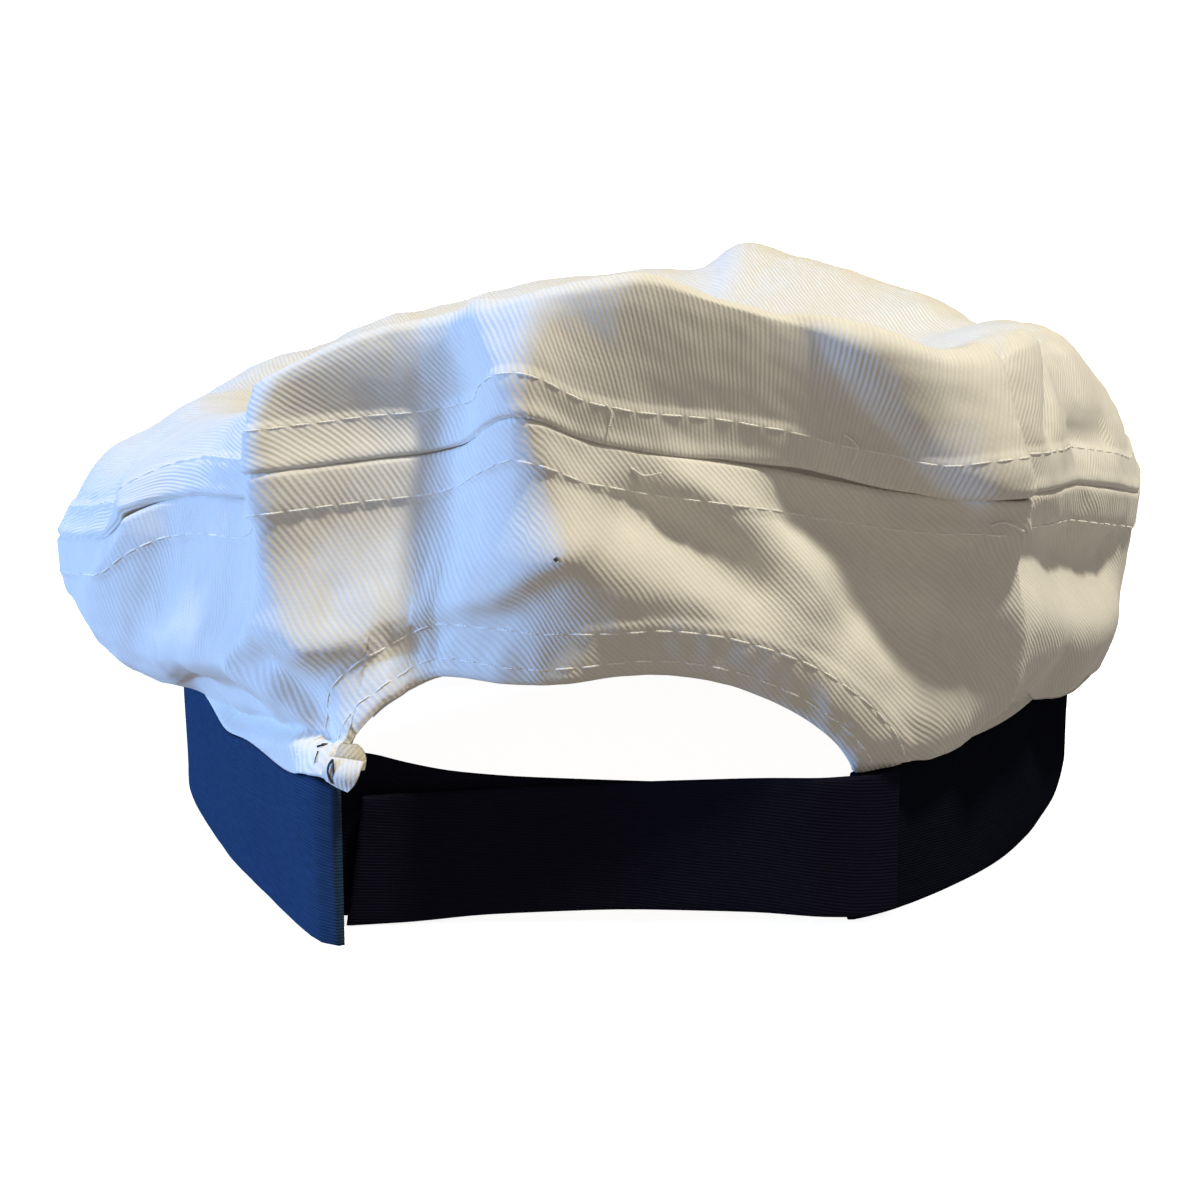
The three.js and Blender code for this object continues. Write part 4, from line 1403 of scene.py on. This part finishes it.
@dataclass
class UprightTape:
    """A band of doubled cloth that stands on edge along a line in plan."""

    wall: float
    corner: float = 0.7
    end_slant: float = 0.0
    slant_run: float = 9.0

    def profile(self, height: Array, steps: int = 14) -> tuple[Array, Array, Array]:
        """Give the section of the tape: a rounded rectangle, closed, from the outer top edge.

        Args:
            height: Heights of the tape along its line, shape (n,).
            steps: Points up each face.

        Returns:
            Distance out from the middle and height for each point, shape (n, points), and the
            share of each point round the section, shape (points,).
        """
        half = 0.5 * self.wall
        curve = np.linspace(0.0, 0.5 * math.pi, 4)
        size = min(self.corner, half * 0.98)
        out_top = half - size + size * np.sin(curve)
        drop_top = size - size * np.cos(curve)
        face = np.linspace(0.0, 1.0, steps)[1:-1]
        tall = np.asarray(height, float)[:, None]
        straight = size + (tall - 2.0 * size) * face
        down = np.concatenate([np.broadcast_to(drop_top, (len(tall), 4)), straight, tall - drop_top[::-1]], axis=1)
        out = np.concatenate([out_top, np.full(len(face), half), out_top[::-1]])
        outs = np.concatenate([out, -out[::-1]])
        downs = np.concatenate([down, down[:, ::-1]], axis=1)
        return np.broadcast_to(outs, downs.shape), downs, np.linspace(0.0, 1.0, downs.shape[1])

    def build(self, name: str, plan: Array, lower: Array, upper: Array, relief: Callable[[Array, Array, Array], Array], material: bpy.types.Material) -> bpy.types.Object:
        """Carry the section along a plan line.

        Args:
            name: Name of the piece.
            plan: Middle of the wall in plan, shape (n, 2), from the wearer's right to left at the back.
            lower: Height of the lower edge at each point.
            upper: Height of the upper edge.
            relief: Gives extra distance out from run along, height share and side (1 outside).
            material: The finish.

        Returns:
            The piece.
        """
        run = np.concatenate([[0.0], np.cumsum(np.linalg.norm(np.diff(plan, axis=0), axis=1))])
        ahead = np.gradient(plan, axis=0)
        side = unit(np.stack([-ahead[:, 1], ahead[:, 0]], axis=1))
        out, drop, _ = self.profile(upper - lower)
        ends = np.minimum(run, run[-1] - run)
        slim = np.sqrt(np.clip(1.0 - (1.0 - np.clip(ends / 0.8, 0.0, 1.0)) ** 2, 0.12, 1.0))
        share = drop / (upper - lower)[:, None]
        extra = relief(run[:, None], share, np.sign(out))
        shift = out * slim[:, None] + extra
        x = plan[:, :1] + side[:, :1] * shift
        y = plan[:, 1:] + side[:, 1:] * shift
        slant = self.end_slant * (share - 0.5) * (1.0 - smoothstep(0.0, self.slant_run, run[:, None]))
        x, y = (value - unit(ahead)[:, k:k + 1] * slant for k, value in enumerate((x, y)))
        grid = np.stack([x, y, upper[:, None] - drop], axis=-1)
        girth = np.cumsum(np.concatenate([[0.0], np.hypot(np.diff(out[0]), np.diff(drop[0]))]))
        girth = np.append(girth, girth[-1] + self.wall)
        cloth = np.stack(np.broadcast_arrays(run[:, None], girth[None, :]), axis=-1) * MM
        return self._sweep(name, grid, cloth, material)

    @staticmethod
    def _sweep(name: str, grid: Array, cloth: Array, material: bpy.types.Material) -> bpy.types.Object:
        """Skin rings of points into a closed tube with capped ends."""
        count, around = grid.shape[:2]
        j, i = np.meshgrid(np.arange(count - 1), np.arange(around), indexing="ij")

        def index(row: Array, column: Array) -> Array:
            """Number a ring's point."""
            return (row * around + column % around).reshape(-1)

        def mark(row: Array, column: Array) -> Array:
            """Number a cloth point."""
            return (row * (around + 1) + column).reshape(-1)

        order = [(j, i), (j + 1, i), (j + 1, i + 1), (j, i + 1)]
        faces = [np.stack([index(a, b) for a, b in order], axis=1)]
        marks = [np.stack([mark(a, b) for a, b in order], axis=1)]
        half = around // 2
        steps = np.arange(half - 1)
        for row, turn in ((0, 1), (count - 1, -1)):
            cap = np.stack([steps, steps + 1, around - 2 - steps, around - 1 - steps], axis=1)[:, ::turn]
            faces.append(row * around + cap)
            marks.append(row * (around + 1) + cap)
        return Maker.piece(name, grid.reshape(-1, 3), faces, marks, cloth.reshape(-1, 2), material)


@dataclass
class Band:
    """Navy band round the head, open at the back."""

    line: HeadLine
    left_end: float = 23.6
    right_end: float = -28.5
    wall: float = 2.3

    def plan(self, count: int) -> tuple[Array, Array]:
        """Give the band's angles and the middle of its wall in plan."""
        angle = np.linspace(self.left_end, self.right_end + 360.0, count)
        outer = placed(angle, self.line.radius(angle), 0.0 * angle)[:, :2]
        ahead = np.gradient(outer, axis=0)
        side = unit(np.stack([-ahead[:, 1], ahead[:, 0]], axis=1))
        return angle, outer - side * 0.5 * self.wall

    def relief(self, run: Array, share: Array, side: Array) -> Array:
        """Give the band's slow waves and the pleats at its right end."""
        tall = share * self.line.band_height
        waves = 0.22 * ripples(run, tall, 34.0, 21, 2.0) + 0.07 * ripples(run, tall, 9.0, 23, 3.0)
        end = run.max() - run
        pleats = 0.35 * bell(end - 9.0, 1.6) - 0.35 * bell(end - 5.0, 1.4) + 0.25 * bell(end - 14.0, 2.0)
        return (waves + pleats * (side > 0)) * np.sin(math.pi * np.clip(share, 0.0, 1.0)) ** 0.5

    def build(self) -> bpy.types.Object:
        """Make the band.

        Returns:
            The piece.
        """
        angle, plan = self.plan(620)
        tape = UprightTape(self.wall, 0.8)
        piece = tape.build("band_cloth", plan, self.line.lower(angle), self.line.upper(angle), self.relief, NAVY_BAND.material())
        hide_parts("band")
        return piece


STRAP_COLUMNS = ("x", "y", "lower", "upper")
OUTER_STRAP = np.array((
    (-48.9, 72.3, 1.0, 25.2),
    (-45.5, 75.4, 1.2, 25.5),
    (-42.2, 77.8, 1.4, 25.7),
    (-36.0, 79.6, 2.0, 25.7),
    (-26.0, 79.6, 2.7, 25.6),
    (-3.0, 79.1, 2.6, 24.3),
    (19.0, 79.6, 1.4, 23.0),
    (30.0, 80.9, 0.4, 22.6),
    (39.8, 82.6, 0.2, 22.3),
))
INNER_STRAP = np.array((
    (-45.2, 69.6, 3.0, 23.6),
    (-40.4, 73.0, 3.0, 23.6),
    (-36.0, 76.2, 3.0, 23.6),
    (-20.0, 77.3, 3.0, 23.8),
    (0.0, 77.0, 2.8, 24.0),
    (14.3, 77.2, 2.2, 24.4),
    (24.8, 77.9, 1.6, 25.4),
    (31.7, 78.7, 1.0, 27.0),
    (37.0, 79.2, 0.8, 28.6),
    (44.2, 80.2, 0.8, 29.5),
    (52.5, 71.0, 2.0, 25.0),
))


@dataclass
class Straps:
    """Two navy straps that overlap across the opening."""

    wall: float = 1.5
    reach: float = 0.05

    def path(self, table: Array, count: int) -> dict[str, Array]:
        """Read a strap's table as rounded lines.

        Args:
            table: Rows of the strap's columns.
            count: Points along the strap.

        Returns:
            Each column along the strap.
        """
        share = np.linspace(0.0, 1.0, count)
        stops = np.linspace(0.0, 1.0, len(table))
        return {name: along(stops, table[:, k], share, self.reach) for k, name in enumerate(STRAP_COLUMNS)}

    def build(self) -> list[bpy.types.Object]:
        """Make both straps.

        Returns:
            The outer and the inner strap.
        """
        pieces = []
        for node, table, slant, seed in (("strap_outer", OUTER_STRAP, 3.0, 31), ("strap_inner", INNER_STRAP, 0.0, 37)):
            line = {name: values[::-1] for name, values in self.path(table, 240).items()}
            plan = np.stack([line["x"], line["y"]], axis=1)

            def relief(run: Array, share: Array, side: Array, seed: int = seed) -> Array:
                """Give a strap's slow waves, held at its edges."""
                waves = ripples(run, share * 22.0, 26.0, seed, 2.0)
                return 0.16 * waves * np.sin(math.pi * np.clip(share, 0.0, 1.0)) ** 0.5

            tape = UprightTape(self.wall, 0.6, slant)
            piece = tape.build(node + "_tape", plan, line["lower"], line["upper"], relief, NAVY_STRAP.material())
            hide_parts(node)
            pieces.append(piece)
        return pieces


@dataclass
class Peak:
    """Navy peak: a crescent under the front of the band, its front edge on the table."""

    line: HeadLine
    wall: float = 3.0
    gap: float = 0.3
    length: float = 46.0
    span: tuple[float, float] = (120.0, 240.0)
    root_inset: float = 1.2
    crowning: float = 2.5
    tip_length: float = 2.0
    fullness: float = 0.9

    def top(self, share: Array, reach: Array) -> Array:
        """Give the upper face: straight from root to edge, bowed up by a sine.

        Args:
            share: 0 to 1 from one end of the crescent to the other.
            reach: 0 at the root, 1 at the edge.

        Returns:
            The points.
        """
        angle = self.span[0] + (self.span[1] - self.span[0]) * share
        full = np.clip(np.sin(math.pi * share), 0.0, 1.0) ** self.fullness
        length = self.tip_length + (self.length - self.tip_length) * full
        root = self.line.lower(angle) - self.gap
        edge = root + (self.wall - root) * full
        height = root + (edge - root) * reach + self.crowning * full * np.sin(math.pi * reach)
        return placed(angle, self.line.radius(angle) - self.root_inset + length * reach, height)

    def build(self) -> list[bpy.types.Object]:
        """Make the peak and its stitching.

        Returns:
            The peak and its thread.
        """
        share, reach = np.meshgrid(np.linspace(0.0, 1.0, 180), np.linspace(0.0, 1.0, 40))
        upper = self.top(share, reach)
        rounding = np.minimum(1.0 - reach, 0.06) / 0.06
        thin = self.wall * (0.35 + 0.65 * np.sqrt(1.0 - (1.0 - rounding) ** 2))
        mid = upper - np.array((0.0, 0.0, 0.5 * self.wall))
        up = np.array((0.0, 0.0, 1.0))
        outer = mid + up * 0.5 * thin[..., None]
        inner = mid - up * 0.5 * thin[..., None]
        run = np.radians(self.span[0] + (self.span[1] - self.span[0]) * share) * 110.0
        cloth = np.stack([run, reach * self.length], axis=-1) * MM
        points, faces, marks = Maker.wall(outer, inner, cloth, False)
        piece = Maker.piece("peak_cloth", points, faces, marks, cloth.reshape(-1, 2), NAVY_PEAK.material())
        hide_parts("peak")
        rows = []
        for inset in (0.90, 0.78):
            place = np.linspace(0.04, 0.96, 400)
            line = self.top(place, np.full_like(place, inset))
            rows.append((line, np.broadcast_to(up, line.shape)))
        thread = StitchRow().build("peak_stitches", rows, Thread.NAVY, Slot.NAVY_TWILL)
        return [piece, thread]


@dataclass(frozen=True)
class Lamp:
    """A soft square light: where it stands, its width, its power and its colour."""

    name: str
    place: tuple[float, float, float]
    width: float
    power: float
    colour: Colour


@dataclass
class Studio:
    """Camera at the photograph's angle, pale light table, side lamps and a dim sky."""

    elevation: float = 14.0
    yaw: float = 3.0
    level: float = 485.0
    height: float = 156.0
    aside: float = -4.0
    focal: float = 2623.0
    frame_width: float = 1200.0
    sensor: float = 36.0
    sky: Colour = (1.0, 0.91, 0.79)
    sky_strength: float = 0.29
    table_glow: float = 0.9
    table_size: float = 8.0
    table_tone: Colour = (0.93, 0.93, 0.93)
    table_roughness: float = 0.9
    glow_tone: Colour = (1.0, 1.0, 1.0)
    backdrop_height: float = 4.0
    lamps: tuple[Lamp, ...] = (
        Lamp("cool_window", (1.11, 0.335, 0.20), 0.18, 16.0, (0.20, 0.46, 1.0)),
        Lamp("warm_sun", (-0.37, 0.37, 1.19), 0.10, 13.0, (1.0, 0.94, 0.75)),
    )

    def build(self) -> None:
        """Set up the camera, the table, the lamps and the sky."""
        self._camera()
        self._table()
        for lamp in self.lamps:
            self._lamp(lamp)
        world = bpy.data.worlds.new("studio_sky")
        world.use_nodes = True
        backdrop = world.node_tree.nodes["Background"]
        backdrop.inputs["Color"].default_value = (*self.sky, 1.0)
        backdrop.inputs["Strength"].default_value = self.sky_strength
        bpy.context.scene.world = world
        bpy.context.scene.view_settings.view_transform = "Standard"

    def _camera(self) -> None:
        """Place the camera from its elevation, yaw, distance and height."""
        pitch, turn = math.radians(self.elevation), math.radians(self.yaw)
        toward = Vector((-math.sin(turn), math.cos(turn), 0.0))
        right = Vector((-math.cos(turn), -math.sin(turn), 0.0))
        ahead = -toward * math.cos(pitch) + Vector((0.0, 0.0, -math.sin(pitch)))
        up = right.cross(ahead)
        eye = toward * self.level + Vector((0.0, 0.0, self.height)) + right * self.aside
        eye = (eye + Vector(HEAD_AXIS)) * MM
        lens = bpy.data.cameras.new("photo_camera")
        lens.sensor_width = self.sensor
        lens.lens = self.sensor * self.focal / self.frame_width
        camera = bpy.data.objects.new("photo_camera", lens)
        turned = Matrix((right, up, -ahead)).transposed().to_4x4()
        camera.matrix_world = Matrix.Translation(eye) @ turned
        bpy.context.scene.collection.objects.link(camera)
        bpy.context.scene.camera = camera

    def _table(self) -> None:
        """Lay a plain pale table that glows softly, with a pale backdrop that the camera alone sees."""
        size = self.table_size
        plan = ((-size, -size), (size, -size), (size, size), (-size, size))
        low = [(x, y, 0.0) for x, y in plan]
        high = [(x, y, self.backdrop_height) for x, y in plan]
        sides = [(k, (k + 1) % 4, (k + 1) % 4 + 4, k + 4) for k in range(4)]
        self._glowing("light_table", low, [(0, 1, 2, 3)])
        backdrop = self._glowing("pale_backdrop", low + high, sides)
        backdrop.visible_glossy = backdrop.visible_shadow = backdrop.visible_transmission = False

    def _glowing(self, name: str, corners: list[tuple[float, ...]], faces: list[tuple[int, ...]]) -> bpy.types.Object:
        """Lay a pale sheet that glows and throws no light back on the hat.

        Args:
            name: Name of the sheet.
            corners: Its corners in metres.
            faces: Rows of four corners.

        Returns:
            The sheet.
        """
        mesh = bpy.data.meshes.new(name)
        mesh.from_pydata(corners, [], faces)
        sockets = {
            "Base Color": self.table_tone, "Roughness": self.table_roughness,
            "Emission Color": self.glow_tone, "Emission Strength": self.table_glow,
        }
        mesh.materials.append(Shader("pale_" + name).finish(sockets, None, 0.0))
        sheet = bpy.data.objects.new(name, mesh)
        sheet.visible_diffuse = False
        bpy.context.scene.collection.objects.link(sheet)
        return sheet

    @staticmethod
    def _lamp(lamp: Lamp) -> None:
        """Stand one lamp, aimed at the hat."""
        light = bpy.data.lights.new(lamp.name, "AREA")
        light.size = lamp.width
        light.energy = lamp.power
        light.color = lamp.colour
        made = bpy.data.objects.new(lamp.name, light)
        place = Vector(lamp.place)
        aim = Vector((0.0, 0.03, 0.05)) - place
        made.matrix_world = Matrix.Translation(place) @ aim.to_track_quat("-Z", "Y").to_matrix().to_4x4()
        bpy.context.scene.collection.objects.link(made)


def main() -> None:
    """Build the studio and every part of the hat."""
    logging.basicConfig(level=logging.INFO, format="%(name)s: %(message)s")
    Studio().build()
    line = HeadLine()
    crown = Crown(line, Arch())
    crown.build()
    CrownSewing(crown).build()
    HemEnd().build()
    LooseEnds(crown).build()
    ArchFacing(crown).build()
    Band(line).build()
    Straps().build()
    Peak(line).build()


if __name__ == "__main__":
    main()
